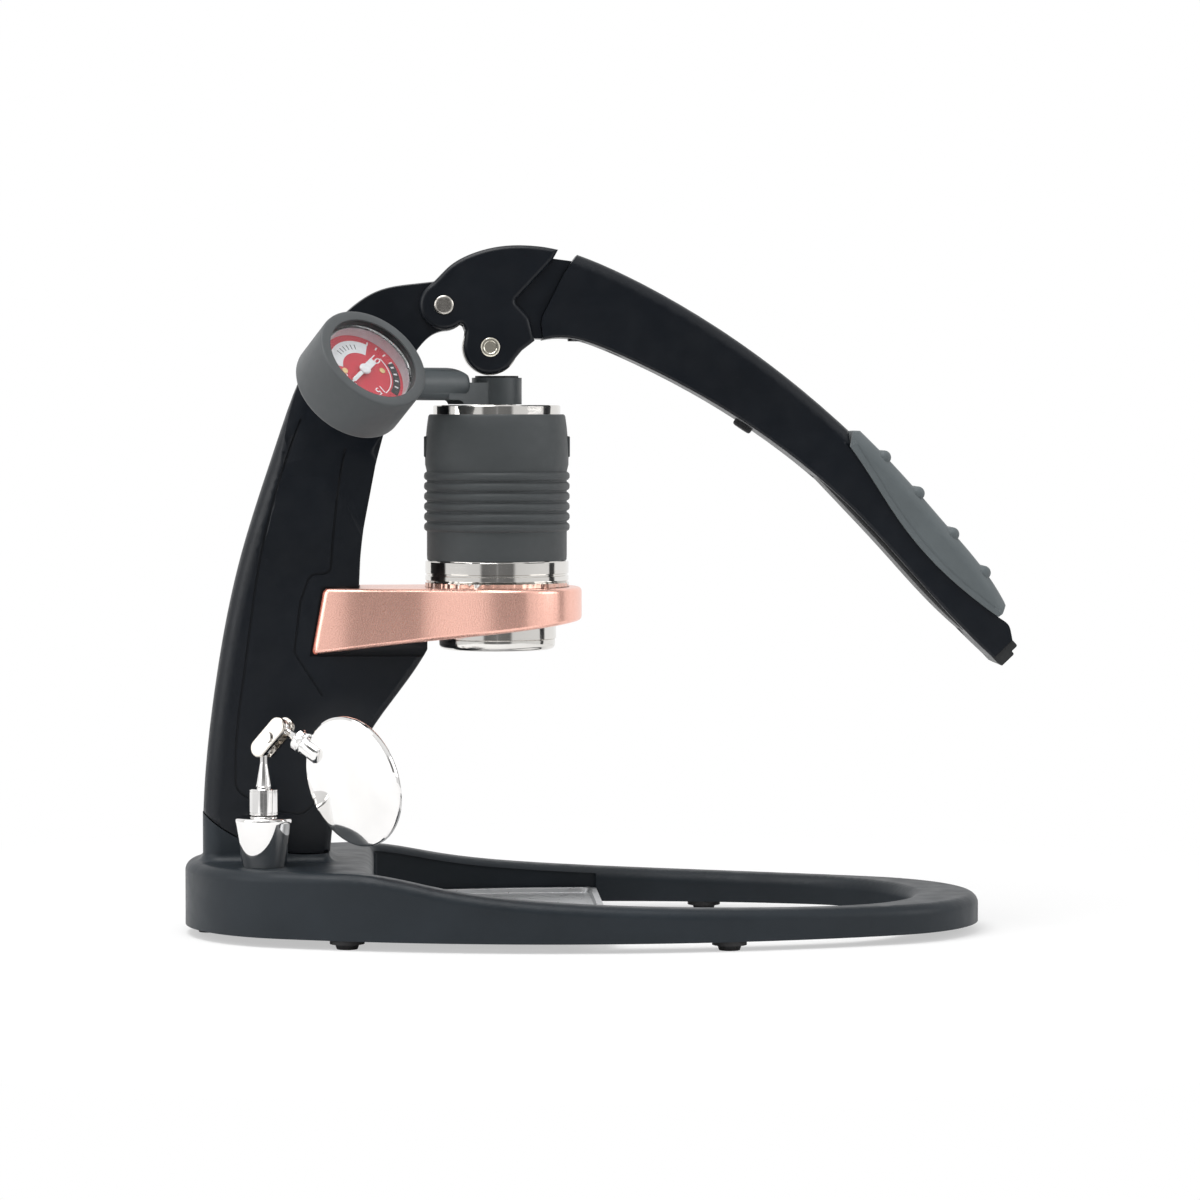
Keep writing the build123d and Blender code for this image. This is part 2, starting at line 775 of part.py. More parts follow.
arm_screw_places_x = (-9.0, 5.0)
arm_screw_seat_z = 229.5
with BuildPart() as lever_head:
    extrude(head_side.sketch, amount=head_half_width, both=True)
    outer = lever_head.edges().filter_by(lambda edge: abs(edge.center().Y) > head_half_width - 0.1)
    fillet(outer, radius=head_edge_radius)
    extrude(side_outline(neck_points), amount=neck_spigot_half_width, both=True)
    extrude(side_outline(tenon_points), amount=spigot_half_width, both=True)
    extrude(cheek_slot.sketch, amount=cheek_gap_half, both=True, mode=Mode.SUBTRACT)
    add(cross_pins([pivot, cam], bolt_radius + seat_gap, base_width), mode=Mode.SUBTRACT)
    seat_floor = head_half_width + bolt_head_proud - bolt_head_height
    head_seats = cross_pins([pivot, cam], bolt_head_radius + seat_gap, base_width)
    seat_core = cross_pins([pivot, cam], 2 * bolt_head_radius, 2 * seat_floor)
    add(head_seats - seat_core, mode=Mode.SUBTRACT)
    with Locations(*[(x, 0, arm_screw_seat_z) for x in arm_screw_places_x]):
        Cylinder(
            arm_screw_radius + seat_gap,
            arm_screw_length + 1,
            align=(Align.CENTER, Align.CENTER, Align.MIN),
            mode=Mode.SUBTRACT,
        )
lever_head.part.label = "lever_head"
export_step(lever_head.part, "parts/lever_head.step")


def headed_bolt(centre, socket_radius):
    """Bolt across the head, with a low domed head at each end."""
    outer_y = head_half_width + bolt_head_proud
    with BuildPart(mode=Mode.PRIVATE) as bolt:
        add(cross_pins([centre], bolt_radius, 2 * outer_y))
        heads = cross_pins([centre], bolt_head_radius, 2 * outer_y)
        shank_room = cross_pins([centre], 2 * bolt_head_radius, 2 * (outer_y - bolt_head_height + seat_gap))
        add(heads - shank_room)
        rims = bolt.edges().filter_by(GeomType.CIRCLE).filter_by(
            lambda edge: abs(edge.center().Y) > outer_y - 0.01
        )
        fillet(rims, radius=bolt_head_proud - 0.05)
        with BuildSketch(Plane.XZ.offset(outer_y)):
            with Locations(centre):
                RegularPolygon(socket_radius, 6)
        extrude(amount=-bolt_head_height, mode=Mode.SUBTRACT)
    return bolt.part


with BuildPart() as pivot_bolt:
    add(headed_bolt(pivot, bolt_socket_radius * 0.8))
pivot_bolt.part.label = "pivot_bolt"
export_step(pivot_bolt.part, "parts/pivot_bolt.step")

with BuildPart() as lobe_bolt:
    add(headed_bolt(cam, bolt_socket_radius))
lobe_bolt.part.label = "lobe_bolt"
export_step(lobe_bolt.part, "parts/lobe_bolt.step")

# Roller that presses on the plunger's pad
roller_half_width = cheek_gap_half - roller_side_gap
with BuildPart() as pressure_roller:
    with BuildSketch(Plane.XZ):
        with Locations(cam):
            Circle(roller_radius)
            Circle(bolt_radius + running_gap, mode=Mode.SUBTRACT)
    extrude(amount=roller_half_width, both=True)
    rims = pressure_roller.edges().filter_by(GeomType.CIRCLE).filter_by(
        lambda edge: edge.radius > roller_radius - 0.1
    )
    chamfer(rims, length=0.8)
pressure_roller.part.label = "pressure_roller"
export_step(pressure_roller.part, "parts/pressure_roller.step")

# Lever arm: bowed beam with a socket for the spigot, a seat for the grip and a square end
end_slant = 43.4
end_along = (cos(radians(end_slant)), sin(radians(end_slant)))
end_out = (end_along[1], -end_along[0])
cap_half = 5.1
cap_corner = 0.8
cap_x = overall_length / 2 - cap_corner - (cap_half - cap_corner) * end_along[0]
cap_x -= (end_cap_thickness - cap_corner) * end_out[0]
cap_z = 108.9


def at_end(along, out):
    """Side-view point given along and out of the arm's end face."""
    return (cap_x + along * end_along[0] + out * end_out[0], cap_z + along * end_along[1] + out * end_out[1])


arm_crest = [
    arm_heel[0],
    (-4.6, 258.0),
    (10.7, 251.2),
    (41.2, 234.1),
    (71.8, 212.4),
    (94.7, 192.8),
]
grip_seat = [(94.9, 186.6), (103.7, 173.7), (114.0, 158.0), (127.6, 141.7), (141.3, 129.4), (152.2, 121.2)]
arm_belly = [
    (-22.3, 227.3),
    (-12.2, 227.9),
    (3.0, 223.2),
    (33.6, 208.4),
    (64.2, 189.3),
    (94.7, 164.1),
    (125.3, 131.1),
    at_end(-cap_half, 0),
]
with BuildSketch(Plane.XZ) as arm_side:
    with BuildLine():
        Spline(*arm_crest)
        Line(arm_crest[-1], grip_seat[0])
        Spline(*grip_seat)
        Spline(grip_seat[-1], (156.2, 118.2), at_end(cap_half, 0), tangents=[(0.8, -0.55), (0.25, -1)])
        Line(at_end(cap_half, 0), at_end(-cap_half, 0))
        Spline(*arm_belly)
        Polyline(*arm_heel)
    make_face()

cover_outer = [(83.0, 174.6), (93.9, 163.2), (108.8, 147.3), (124.3, 130.2), (139.3, 115.9)]
cover_inner = [(141.0, 117.6), (127.1, 132.7), (111.8, 150.1), (96.4, 165.8), (84.7, 176.3)]


def cover_side(sink):
    """Side outline of the cover let into the arm's underside, sunk deeper by a distance."""
    outer = [(x + sink * end_out[0], z - sink * end_out[1]) for x, z in cover_outer]
    inner = [(x + sink * end_out[0], z - sink * end_out[1]) for x, z in cover_inner]
    with BuildSketch(Plane.XZ) as outline:
        with BuildLine():
            Spline(*outer)
            Line(outer[-1], inner[0])
            Spline(*inner)
            Line(inner[-1], outer[0])
        make_face()
    return outline.sketch


end_screw_at = at_end(-1.3, 0)
end_screw_plane = Plane(origin=(end_screw_at[0], 0, end_screw_at[1]), z_dir=(end_out[0], 0, end_out[1]))
bumper_root = (55.4, 195.0)
bumper_out = Vector(-0.552, 0, -0.834)
bumper_plane = Plane(origin=(bumper_root[0], 0, bumper_root[1]), z_dir=bumper_out)
with BuildPart() as lever_arm:
    extrude(arm_side.sketch, amount=arm_half_width, both=True)
    side_edges = lever_arm.edges().filter_by(lambda edge: abs(edge.center().Y) > arm_half_width - 0.1)
    crest_edges = side_edges.filter_by(lambda edge: 115 < edge.length < 140)
    fillet(crest_edges, radius=arm_top_radius)
    side_edges = lever_arm.edges().filter_by(lambda edge: abs(edge.center().Y) > arm_half_width - 0.1)
    fillet(side_edges.filter_by(lambda edge: edge.length > 180), radius=arm_bottom_radius)
    socket_half_width = spigot_half_width + seat_gap
    extrude(side_outline(tenon_points, seat_gap), amount=socket_half_width, both=True, mode=Mode.SUBTRACT)
    extrude(cover_side(seat_gap), amount=cover_half_width + seat_gap, both=True, mode=Mode.SUBTRACT)
    with Locations(bumper_plane):
        Cylinder(bumper_radius + seat_gap, 2 * bumper_depth, mode=Mode.SUBTRACT)
    with Locations(*[(x, 0, arm_screw_seat_z) for x in arm_screw_places_x]):
        Cylinder(arm_screw_radius + seat_gap, 10, mode=Mode.SUBTRACT)
        Cylinder(
            arm_screw_head_radius + seat_gap,
            20,
            align=(Align.CENTER, Align.CENTER, Align.MAX),
            mode=Mode.SUBTRACT,
        )
    with Locations(end_screw_plane):
        Cylinder(end_screw_radius + seat_gap, 2 * end_screw_grip + 1, mode=Mode.SUBTRACT)
lever_arm.part.label = "lever_arm"
export_step(lever_arm.part, "parts/lever_arm.step")

# Screws that hold the arm on the spigot, put in from the arm's underside
with BuildPart() as arm_screws:
    for screw_x in arm_screw_places_x:
        with Locations((screw_x, 0, arm_screw_seat_z)):
            Cylinder(
                arm_screw_radius, arm_screw_length, align=(Align.CENTER, Align.CENTER, Align.MIN)
            )
            Cylinder(
                arm_screw_head_radius,
                arm_screw_head_height,
                align=(Align.CENTER, Align.CENTER, Align.MAX),
            )
    with BuildSketch(Plane.XY.offset(arm_screw_seat_z - arm_screw_head_height)):
        with Locations(*[(x, 0) for x in arm_screw_places_x]):
            RegularPolygon(arm_screw_radius, 6)
    extrude(amount=arm_screw_head_height * 0.6, mode=Mode.SUBTRACT)
arm_screws.part.label = "arm_screws"
export_step(arm_screws.part, "parts/arm_screws.step")

# Cover let into the arm's underside
with BuildPart() as lever_underside_cover:
    extrude(cover_side(0), amount=cover_half_width, both=True)
    outer = lever_underside_cover.edges().filter_by(
        lambda edge: abs(edge.center().Y) > cover_half_width - 0.1 and edge.length > 50
    )
    fillet(outer.sort_by(lambda edge: edge.center().X + edge.center().Z)[:2], radius=1.2)
lever_underside_cover.part.label = "lever_underside_cover"
export_step(lever_underside_cover.part, "parts/lever_underside_cover.step")

# Rubber peg under the arm, on which the arm comes to rest
with BuildPart() as lever_bumper:
    with BuildSketch(bumper_plane.offset(-bumper_depth + seat_gap)):
        Circle(bumper_radius)
    extrude(amount=bumper_depth + bumper_proud)
    fillet(lever_bumper.faces().sort_by(Axis(bumper_plane.origin, bumper_out))[-1].edges(), radius=1.0)
lever_bumper.part.label = "lever_bumper"
export_step(lever_bumper.part, "parts/lever_bumper.step")

# Grip on the arm's end: a soft pad with cross ribs and a proud lower band
grip_sole = [(x + seat_gap, z + seat_gap) for x, z in grip_seat]
grip_crown = [(99.2, 192.6), (108.0, 183.9), (117.3, 174.0), (132.6, 156.5), (147.8, 138.4), (155.0, 127.0)]
rib_places = [(108.4, 182.4), (121.4, 168.6), (134.8, 152.9), (147.0, 138.1)]
with BuildSketch(Plane.XZ) as grip_side:
    with BuildLine():
        Polyline(grip_sole[0], (96.3, 192.4), grip_crown[0])
        Spline(*grip_crown)
        Polyline(grip_crown[-1], (155.4, 125.6), (153.9, 122.4), grip_sole[-1])
        Spline(*grip_sole)
    make_face()
with BuildSketch(Plane.XZ) as grip_band:
    with BuildLine():
        Polyline(grip_sole[0], (grip_sole[0][0] + band_width, grip_sole[0][1] + 1.4))
        Spline(*[(x + band_width * 0.8, z + band_width * 0.6) for x, z in grip_sole[1:-1]])
        Polyline(
            (grip_sole[-2][0] + band_width * 0.8, grip_sole[-2][1] + band_width * 0.6),
            (153.4, 122.6),
            grip_sole[-1],
        )
        Spline(*grip_sole)
        Line(
            (grip_sole[0][0] + band_width, grip_sole[0][1] + 1.4),
            (grip_sole[1][0] + band_width * 0.8, grip_sole[1][1] + band_width * 0.6),
        )
    make_face()
with BuildPart() as lever_grip:
    extrude(grip_side.sketch, amount=grip_half_width, both=True)
    crown_edges = lever_grip.edges().filter_by(
        lambda edge: abs(edge.center().Y) > grip_half_width - 0.1 and edge.length > 70
    )
    crown_edges = crown_edges.sort_by(lambda edge: edge.center().X + edge.center().Z)[-2:]
    fillet(crown_edges, radius=grip_edge_radius)
    extrude(grip_band.sketch, amount=grip_half_width + band_proud, both=True)
    for place in rib_places:
        with BuildPart(mode=Mode.PRIVATE) as rib:
            add(cross_pins([place], rib_radius, 2 * rib_half_length))
            fillet(rib.edges().filter_by(GeomType.CIRCLE), radius=rib_radius - 0.3)
        add(rib.part)
lever_grip.part.label = "lever_grip"
export_step(lever_grip.part, "parts/lever_grip.step")

# End cap: a plate with a step, screwed on the arm's end
cap_step_low, cap_step_high = -4.6, 2.0
cap_step = 1.5
with BuildPart() as lever_end_cap:
    with BuildSketch(Plane.XZ) as cap_side:
        with BuildLine():
            FilletPolyline(
                at_end(-cap_half, seat_gap),
                at_end(cap_half, seat_gap),
                at_end(cap_half, end_cap_thickness),
                at_end(cap_step_high, end_cap_thickness),
                at_end(cap_step_high, end_cap_thickness + cap_step),
                at_end(cap_step_low, end_cap_thickness + cap_step),
                at_end(-cap_half, end_cap_thickness),
                radius=[cap_corner * share for share in (0.25, 0.25, 1.0, 0.25, 1.0, 0.5, 0.5)],
                close=True,
            )
        make_face()
    extrude(amount=arm_half_width - 0.6, both=True)
    with Locations(end_screw_plane):
        Cylinder(end_screw_radius + seat_gap, 30, mode=Mode.SUBTRACT)
    with Locations(end_screw_plane.offset(end_cap_thickness + cap_step)):
        Cylinder(end_screw_head_radius + seat_gap, 2 * end_screw_head_height, mode=Mode.SUBTRACT)
lever_end_cap.part.label = "lever_end_cap"
export_step(lever_end_cap.part, "parts/lever_end_cap.step")

screw_top = end_screw_plane.offset(end_cap_thickness + cap_step - 0.2)
with BuildPart() as end_cap_screw:
    with BuildSketch(screw_top):
        Circle(end_screw_head_radius)
    extrude(amount=-(end_screw_head_height - 0.2 - seat_gap))
    with BuildSketch(screw_top):
        Circle(end_screw_radius)
    extrude(amount=-(end_cap_thickness + cap_step + end_screw_grip))
    with BuildSketch(screw_top):
        RegularPolygon(end_screw_radius, 6)
    extrude(amount=-end_screw_head_height * 0.6, mode=Mode.SUBTRACT)
end_cap_screw.part.label = "end_cap_screw"
export_step(end_cap_screw.part, "parts/end_cap_screw.step")

# Brew head, turned round its own axis
brew_axis = Axis((axis_x, 0, 0), (0, 0, 1))


def turned(*profile):
    """Half section of a turned piece of the brew head, given as radius and height."""
    with BuildSketch(Plane.XZ) as half:
        with BuildLine():
            Polyline(*[(axis_x + radius, z) for radius, z in profile], close=True)
        make_face()
    return half.sketch


# Copper fork: a ring for the basket and two prongs that slide on the post's neck
ring_right_x = axis_x + holder_ring_radius
with BuildPart() as portafilter_holder:
    with BuildSketch(Plane.XY.offset(holder_back_bottom_z)) as fork_plan:
        with Locations((axis_x, 0)):
            Circle(holder_ring_radius)
        with Locations((holder_tip_x, 0)):
            Rectangle(axis_x - holder_tip_x, 2 * holder_prong_outer, align=(Align.MIN, Align.CENTER))
        joins = fork_plan.vertices().filter_by(
            lambda vertex: abs(vertex.X - axis_x) < holder_ring_radius - 1 and vertex.X < axis_x - 5
        )
        fillet(joins, radius=holder_join_radius)
        with Locations((holder_throat_x, 0)):
            Rectangle(
                base_length,
                2 * holder_prong_inner,
                align=(Align.MAX, Align.CENTER),
                mode=Mode.SUBTRACT,
            )
    extrude(amount=holder_top_z - holder_back_bottom_z)
    with BuildSketch(Plane.XZ):
        with BuildLine():
            Polyline(
                (holder_tip_x, holder_back_bottom_z),
                (ring_right_x + 1, holder_bottom_at(ring_right_x + 1)),
                (ring_right_x + 1, holder_top_z),
                (holder_tip_x + prong_tip_lean, holder_top_z),
                close=True,
            )
        make_face()
    extrude(amount=base_width, both=True, mode=Mode.INTERSECT)
    tips = portafilter_holder.edges().filter_by(
        lambda edge: edge.center().X < holder_tip_x + prong_tip_lean and edge.bounding_box().size.Z > 15
    )
    fillet(tips, radius=holder_tip_radius)
    revolve(
        turned(
            (0, basket_bottom_z - 1),
            (basket_body_radius + bore_gap, basket_bottom_z - 1),
            (basket_body_radius + bore_gap, holder_top_z + 1),
            (0, holder_top_z + 1),
        ),
        axis=brew_axis,
        mode=Mode.SUBTRACT,
    )
    revolve(
        turned(
            (0, holder_step_z),
            (flange_radius + moving_gap, holder_step_z),
            (flange_radius + moving_gap, holder_top_z + 1),
            (0, holder_top_z + 1),
        ),
        axis=brew_axis,
        mode=Mode.SUBTRACT,
    )
    with Locations((holder_throat_x, 0, fork_ceiling_z)):
        Box(
            axis_x - holder_throat_x,
            2 * holder_prong_inner,
            20,
            align=(Align.MIN, Align.CENTER, Align.MAX),
            mode=Mode.SUBTRACT,
        )
portafilter_holder.part.label = "portafilter_holder"
export_step(portafilter_holder.part, "parts/portafilter_holder.step")

# Basket: a thick collar in the ring, a narrower cup below it and a perforated floor
basket_floor_z = basket_step_z + basket_floor
with BuildPart() as basket:
    revolve(
        turned(
            (0, basket_step_z),
            (basket_body_radius, basket_step_z),
            (basket_body_radius, holder_step_z + seat_gap),
            (flange_radius, holder_step_z + seat_gap),
            (flange_radius, basket_rim_top_z - 0.5),
            (flange_radius - 0.5, basket_rim_top_z),
            (basket_bore_radius, basket_rim_top_z),
            (basket_bore_radius, basket_floor_z),
            (0, basket_floor_z),
        ),
        axis=brew_axis,
    )
    with BuildSketch(Plane.XY.offset(basket_floor_z)):
        with Locations((axis_x, 0)):
            Circle(floor_hole_radius)
            with PolarLocations(floor_hole_pitch, 6):
                Circle(floor_hole_radius)
            with PolarLocations(2 * floor_hole_pitch, 12):
                Circle(floor_hole_radius)
    extrude(amount=-2 * basket_floor, mode=Mode.SUBTRACT)
basket.part.label = "basket"
export_step(basket.part, "parts/basket.step")

# Base of the basket, which gathers the coffee to one outlet
with BuildPart() as basket_base:
    revolve(
        turned(
            (outlet_radius, basket_bottom_z),
            (basket_base_radius - 1.6, basket_bottom_z),
            (basket_base_radius, basket_bottom_z + 1.6),
            (basket_base_radius, basket_step_z - seat_gap),
            (basket_base_radius - 2.0, basket_step_z - seat_gap),
            (outlet_radius, basket_bottom_z + 1.4),
        ),
        axis=brew_axis,
    )
basket_base.part.label = "basket_base"
export_step(basket_base.part, "parts/basket_base.step")

# Perforated screen that lies on the coffee
with BuildPart() as dispersion_screen:
    with BuildSketch(Plane.XY.offset(basket_rim_top_z - screen_drop)):
        with Locations((axis_x, 0)):
            Circle(basket_bore_radius - seat_gap)
            Circle(floor_hole_radius, mode=Mode.SUBTRACT)
            for ring in (1, 2, 3):
                with PolarLocations(ring * floor_hole_pitch, 6 * ring):
                    Circle(floor_hole_radius, mode=Mode.SUBTRACT)
    extrude(amount=-screen_thickness)
dispersion_screen.part.label = "dispersion_screen"
export_step(dispersion_screen.part, "parts/dispersion_screen.step")

# Brew cylinder with its lower ring and upper flange
cylinder_bottom_z = basket_rim_top_z + 0.2
with BuildPart() as cylinder:
    revolve(
        turned(
            (bore_radius, cylinder_bottom_z),
            (flange_radius - 0.4, cylinder_bottom_z),
            (flange_radius, cylinder_bottom_z + 0.4),
            (flange_radius, cylinder_ring_top_z - 0.4),
            (flange_radius - 0.4, cylinder_ring_top_z),
            (cylinder_radius, cylinder_ring_top_z),
            (cylinder_radius, sleeve_top_z - 0.3),
            (top_flange_radius, sleeve_top_z - 0.3),
            (top_flange_radius, cylinder_top_z - 0.4),
            (top_flange_radius - 0.4, cylinder_top_z),
            (bore_radius, cylinder_top_z),
        ),
        axis=brew_axis,
    )
cylinder.part.label = "cylinder"
export_step(cylinder.part, "parts/cylinder.step")

# Moulded sleeve with six ribs and a small tab on each side
rib_half_height = 1.1
with BuildPart() as cylinder_sleeve:
    with BuildSketch(Plane.XZ) as sleeve_half:
        with BuildLine():
            Polyline(
                (axis_x + cylinder_radius + seat_gap, cylinder_ring_top_z + 0.2),
                (axis_x + sleeve_foot_radius, cylinder_ring_top_z + 0.2),
                (axis_x + sleeve_wall_radius, cylinder_ring_top_z + 8),
                (axis_x + sleeve_wall_radius, sleeve_taper_z),
            )
            Spline(
                (axis_x + sleeve_wall_radius, sleeve_taper_z),
                (axis_x + sleeve_mouth_radius, sleeve_top_z - 0.8),
                tangents=[(0, 1), (-0.25, 1)],
            )
            Polyline(
                (axis_x + sleeve_mouth_radius, sleeve_top_z - 0.8),
                (axis_x + sleeve_mouth_radius - 0.6, sleeve_top_z),
                (axis_x + cylinder_radius + seat_gap, sleeve_top_z),
                (axis_x + cylinder_radius + seat_gap, cylinder_ring_top_z + 0.2),
            )
        make_face()
        rib_heights = [sleeve_rib_first_z + sleeve_rib_pitch * index for index in range(sleeve_rib_count)]
        with Locations(*[(axis_x + sleeve_radius - rib_half_height, z) for z in rib_heights]):
            Circle(rib_half_height)
    revolve(axis=brew_axis)
    for side in (-1, 1):
        with Locations((axis_x + side * sleeve_wall_radius, 0, tab_z)):
            Box(2 * tab_proud, tab_width, tab_height)
cylinder_sleeve.part.label = "cylinder_sleeve"
export_step(cylinder_sleeve.part, "parts/cylinder_sleeve.step")

# Plunger: piston, seal, rod and the castellated pad that the roller presses
seal_groove_z = piston_bottom_z + piston_height / 2
with BuildPart() as piston:
    revolve(
        turned(
            (0, piston_bottom_z),
            (bore_radius - piston_gap - 1, piston_bottom_z),
            (bore_radius - piston_gap, piston_bottom_z + 1),
            (bore_radius - piston_gap, seal_groove_z - seal_height / 2),
            (bore_radius - seal_depth, seal_groove_z - seal_height / 2),
            (bore_radius - seal_depth, seal_groove_z + seal_height / 2),
            (bore_radius - piston_gap, seal_groove_z + seal_height / 2),
            (bore_radius - piston_gap, piston_bottom_z + piston_height),
            (stud_radius + seat_gap, piston_bottom_z + piston_height),
            (stud_radius + seat_gap, piston_bottom_z + piston_height - stud_depth),
            (0, piston_bottom_z + piston_height - stud_depth),
        ),
        axis=brew_axis,
    )
piston.part.label = "piston"
export_step(piston.part, "parts/piston.step")

with BuildPart() as piston_seal:
    revolve(
        turned(
            (bore_radius - seal_depth + seat_gap, seal_groove_z - seal_height / 2 + seat_gap),
            (bore_radius - seal_gap - 0.4, seal_groove_z - seal_height / 2 + seat_gap),
            (bore_radius - seal_gap, seal_groove_z - 0.5),
            (bore_radius - seal_gap, seal_groove_z + 0.5),
            (bore_radius - seal_gap - 0.4, seal_groove_z + seal_height / 2 - seat_gap),
            (bore_radius - seal_depth + seat_gap, seal_groove_z + seal_height / 2 - seat_gap),
        ),
        axis=brew_axis,
    )
piston_seal.part.label = "piston_seal"
export_step(piston_seal.part, "parts/piston_seal.step")

collar_bottom_z = cylinder_top_z + moving_gap
collar_top_z = collar_bottom_z + collar_height
pad_floor_z = collar_top_z - pad_sink
with BuildPart() as plunger_rod:
    revolve(
        turned(
            (0, piston_bottom_z + piston_height - stud_depth + 1),
            (stud_radius, piston_bottom_z + piston_height - stud_depth + 1),
            (stud_radius, piston_bottom_z + piston_height + seat_gap),
            (rod_shoulder_radius, piston_bottom_z + piston_height + seat_gap),
            (rod_shoulder_radius, collar_bottom_z - seat_gap),
            (rod_radius, collar_bottom_z - seat_gap),
            (rod_radius, pad_floor_z),
            (pad_stud_radius + seat_gap, pad_floor_z),
            (pad_stud_radius + seat_gap, pad_floor_z - pad_stud_depth),
            (0, pad_floor_z - pad_stud_depth),
        ),
        axis=brew_axis,
    )
plunger_rod.part.label = "plunger_rod"
export_step(plunger_rod.part, "parts/plunger_rod.step")

with BuildPart() as pressure_pad:
    revolve(
        turned(
            (0, pad_floor_z - pad_stud_depth + 0.5),
            (pad_stud_radius, pad_floor_z - pad_stud_depth + 0.5),
            (pad_stud_radius, pad_floor_z + seat_gap),
            (pad_radius, pad_floor_z + seat_gap),
            (pad_radius, pad_top_z),
            (0, pad_top_z),
        ),
        axis=brew_axis,
    )
    with BuildSketch(Plane.XY.offset(pad_top_z)):
        with Locations((axis_x, 0)):
            with PolarLocations(pad_radius - nub_reach / 2, nub_count, start_angle=180 / nub_count):
                Rectangle(nub_reach + 1, pi * pad_radius / nub_count * 0.7)
    extrude(amount=-nub_height, mode=Mode.SUBTRACT)
pressure_pad.part.label = "pressure_pad"
export_step(pressure_pad.part, "parts/pressure_pad.step")

# Elbow casting on the plunger that carries the gauge. It points left and to the front.
stem_out = Vector(-cos(radians(gauge_bearing)), -sin(radians(gauge_bearing)), 0)
stem_across = stem_out.cross(Vector(0, 0, 1))
elbow_plane = Plane(origin=(axis_x, 0, 0), x_dir=stem_out, z_dir=stem_across)
stem_plane = Plane(origin=(axis_x, 0, gauge_stem_z), z_dir=stem_out)
case_face = gauge_reach - gauge_case_radius
with BuildPart() as stem_tube:
    with BuildSketch(stem_plane.offset(stem_start)):
        Circle(gauge_stem_radius)
    extrude(amount=case_face - seat_gap - stem_start)
    start_edge = stem_tube.edges().filter_by(GeomType.CIRCLE).sort_by(Axis((axis_x, 0, 0), stem_out))[0]
    fillet(start_edge, radius=stem_end_radius)

# Relief on the stem's inner side, level with the pad, so that the head slides out under the lever
relief_y = -(head_half_width + moving_gap)
with BuildPart() as stem_relief:
    with BuildSketch(Plane.YZ.offset(axis_x)):
        with Locations((relief_y, pad_top_z)):
            Rectangle(base_width, 2 * gauge_stem_radius, align=(Align.MIN, Align.MIN))
    extrude(amount=2 * gauge_reach, both=True)
    inner_edge = stem_relief.edges().filter_by(Axis.X).sort_by(Axis.Y)[:2].sort_by(Axis.Z)[0]
    fillet(inner_edge, radius=stem_relief_radius)

elbow_foot_reach = stem_start + elbow_foot
throat_reach = stem_start + elbow_throat
stem_underside_z = gauge_stem_z - gauge_stem_radius + 0.3
with BuildPart() as gauge_stem:
    with BuildSketch(Plane.XY.offset(collar_bottom_z)):
        with Locations((axis_x, 0)):
            Circle(collar_radius)
    extrude(amount=collar_height)
    with BuildSketch(elbow_plane):
        with BuildLine():
            Polyline(
                (elbow_foot_reach, elbow_top_z),
                (0, elbow_top_z),
                (0, collar_bottom_z),
                (elbow_foot_reach, collar_bottom_z),
            )
            Spline(
                (elbow_foot_reach, collar_bottom_z),
                (throat_reach, stem_underside_z),
                tangents=[(0.2, 1), (1, 0.1)],
            )
            Polyline(
                (throat_reach, stem_underside_z),
                (throat_reach, gauge_stem_z - 1),
                (elbow_foot_reach, elbow_top_z),
            )
        make_face()
    extrude(amount=elbow_half_width - 0.5, both=True)
    add(stem_tube.part)
    add(stem_relief.part, mode=Mode.SUBTRACT)
    with BuildSketch(stem_plane.offset(case_face - 1)):
        Circle(gauge_nipple_radius)
    extrude(amount=gauge_case_wall + 0.5)
    with Locations((axis_x, 0, collar_bottom_z)):
        Cylinder(rod_radius + running_gap, 4 * collar_height, mode=Mode.SUBTRACT)
    with BuildSketch(Plane.XY.offset(pad_floor_z - moving_gap / 2)):
        with Locations((axis_x, 0)):
            Circle(pad_radius + moving_gap)
    extrude(amount=2 * pad_sink, mode=Mode.SUBTRACT)
gauge_stem.part.label = "gauge_stem"
export_step(gauge_stem.part, "parts/gauge_stem.step")

# Pressure gauge, turned round its own tilted axis
bearing = radians(gauge_bearing)
tilt = radians(gauge_tilt)
gauge_centre = Vector(axis_x, 0, gauge_z) + gauge_reach * stem_out
gauge_facing = Vector(sin(bearing) * cos(tilt), -cos(bearing) * cos(tilt), sin(tilt))
gauge_right = Vector(cos(bearing), sin(bearing), 0)
gauge_section = Plane(origin=gauge_centre, x_dir=gauge_right, z_dir=gauge_right.cross(gauge_facing))
gauge_axis = Axis(gauge_centre, gauge_facing)
dial_plane = Plane(origin=gauge_centre, x_dir=gauge_right, z_dir=gauge_facing)


def gauge_turned(*profile):
    """Half section of a turned piece of the gauge, given as radius and level."""
    with BuildSketch(gauge_section) as half:
        with BuildLine():
            Polyline(*profile, close=True)
        make_face()
    return half.sketch


case_bore = gauge_case_radius - gauge_case_wall
lens_radius = case_bore + 1.0
case_front = gauge_lens_ledge + gauge_lens_thickness + seat_gap
case_back = -(gauge_back - 1.0)
case_floor = case_back + gauge_case_wall
with BuildPart() as gauge_case:
    revolve(
        gauge_turned(
            (0, case_back),
            (gauge_case_radius - 1.2, case_back),
            (gauge_case_radius, case_back + 1.2),
            (gauge_case_radius, case_front),
            (lens_radius + seat_gap, case_front),
            (lens_radius + seat_gap, gauge_lens_ledge),
            (case_bore, gauge_lens_ledge),
            (case_bore, case_floor),
            (0, case_floor),
        ),
        axis=gauge_axis,
    )
    with BuildSketch(stem_plane.offset(case_face - 3)):
        Circle(gauge_nipple_radius + seat_gap)
    extrude(amount=gauge_case_wall + 4, mode=Mode.SUBTRACT)
gauge_case.part.label = "gauge_case"
export_step(gauge_case.part, "parts/gauge_case.step")

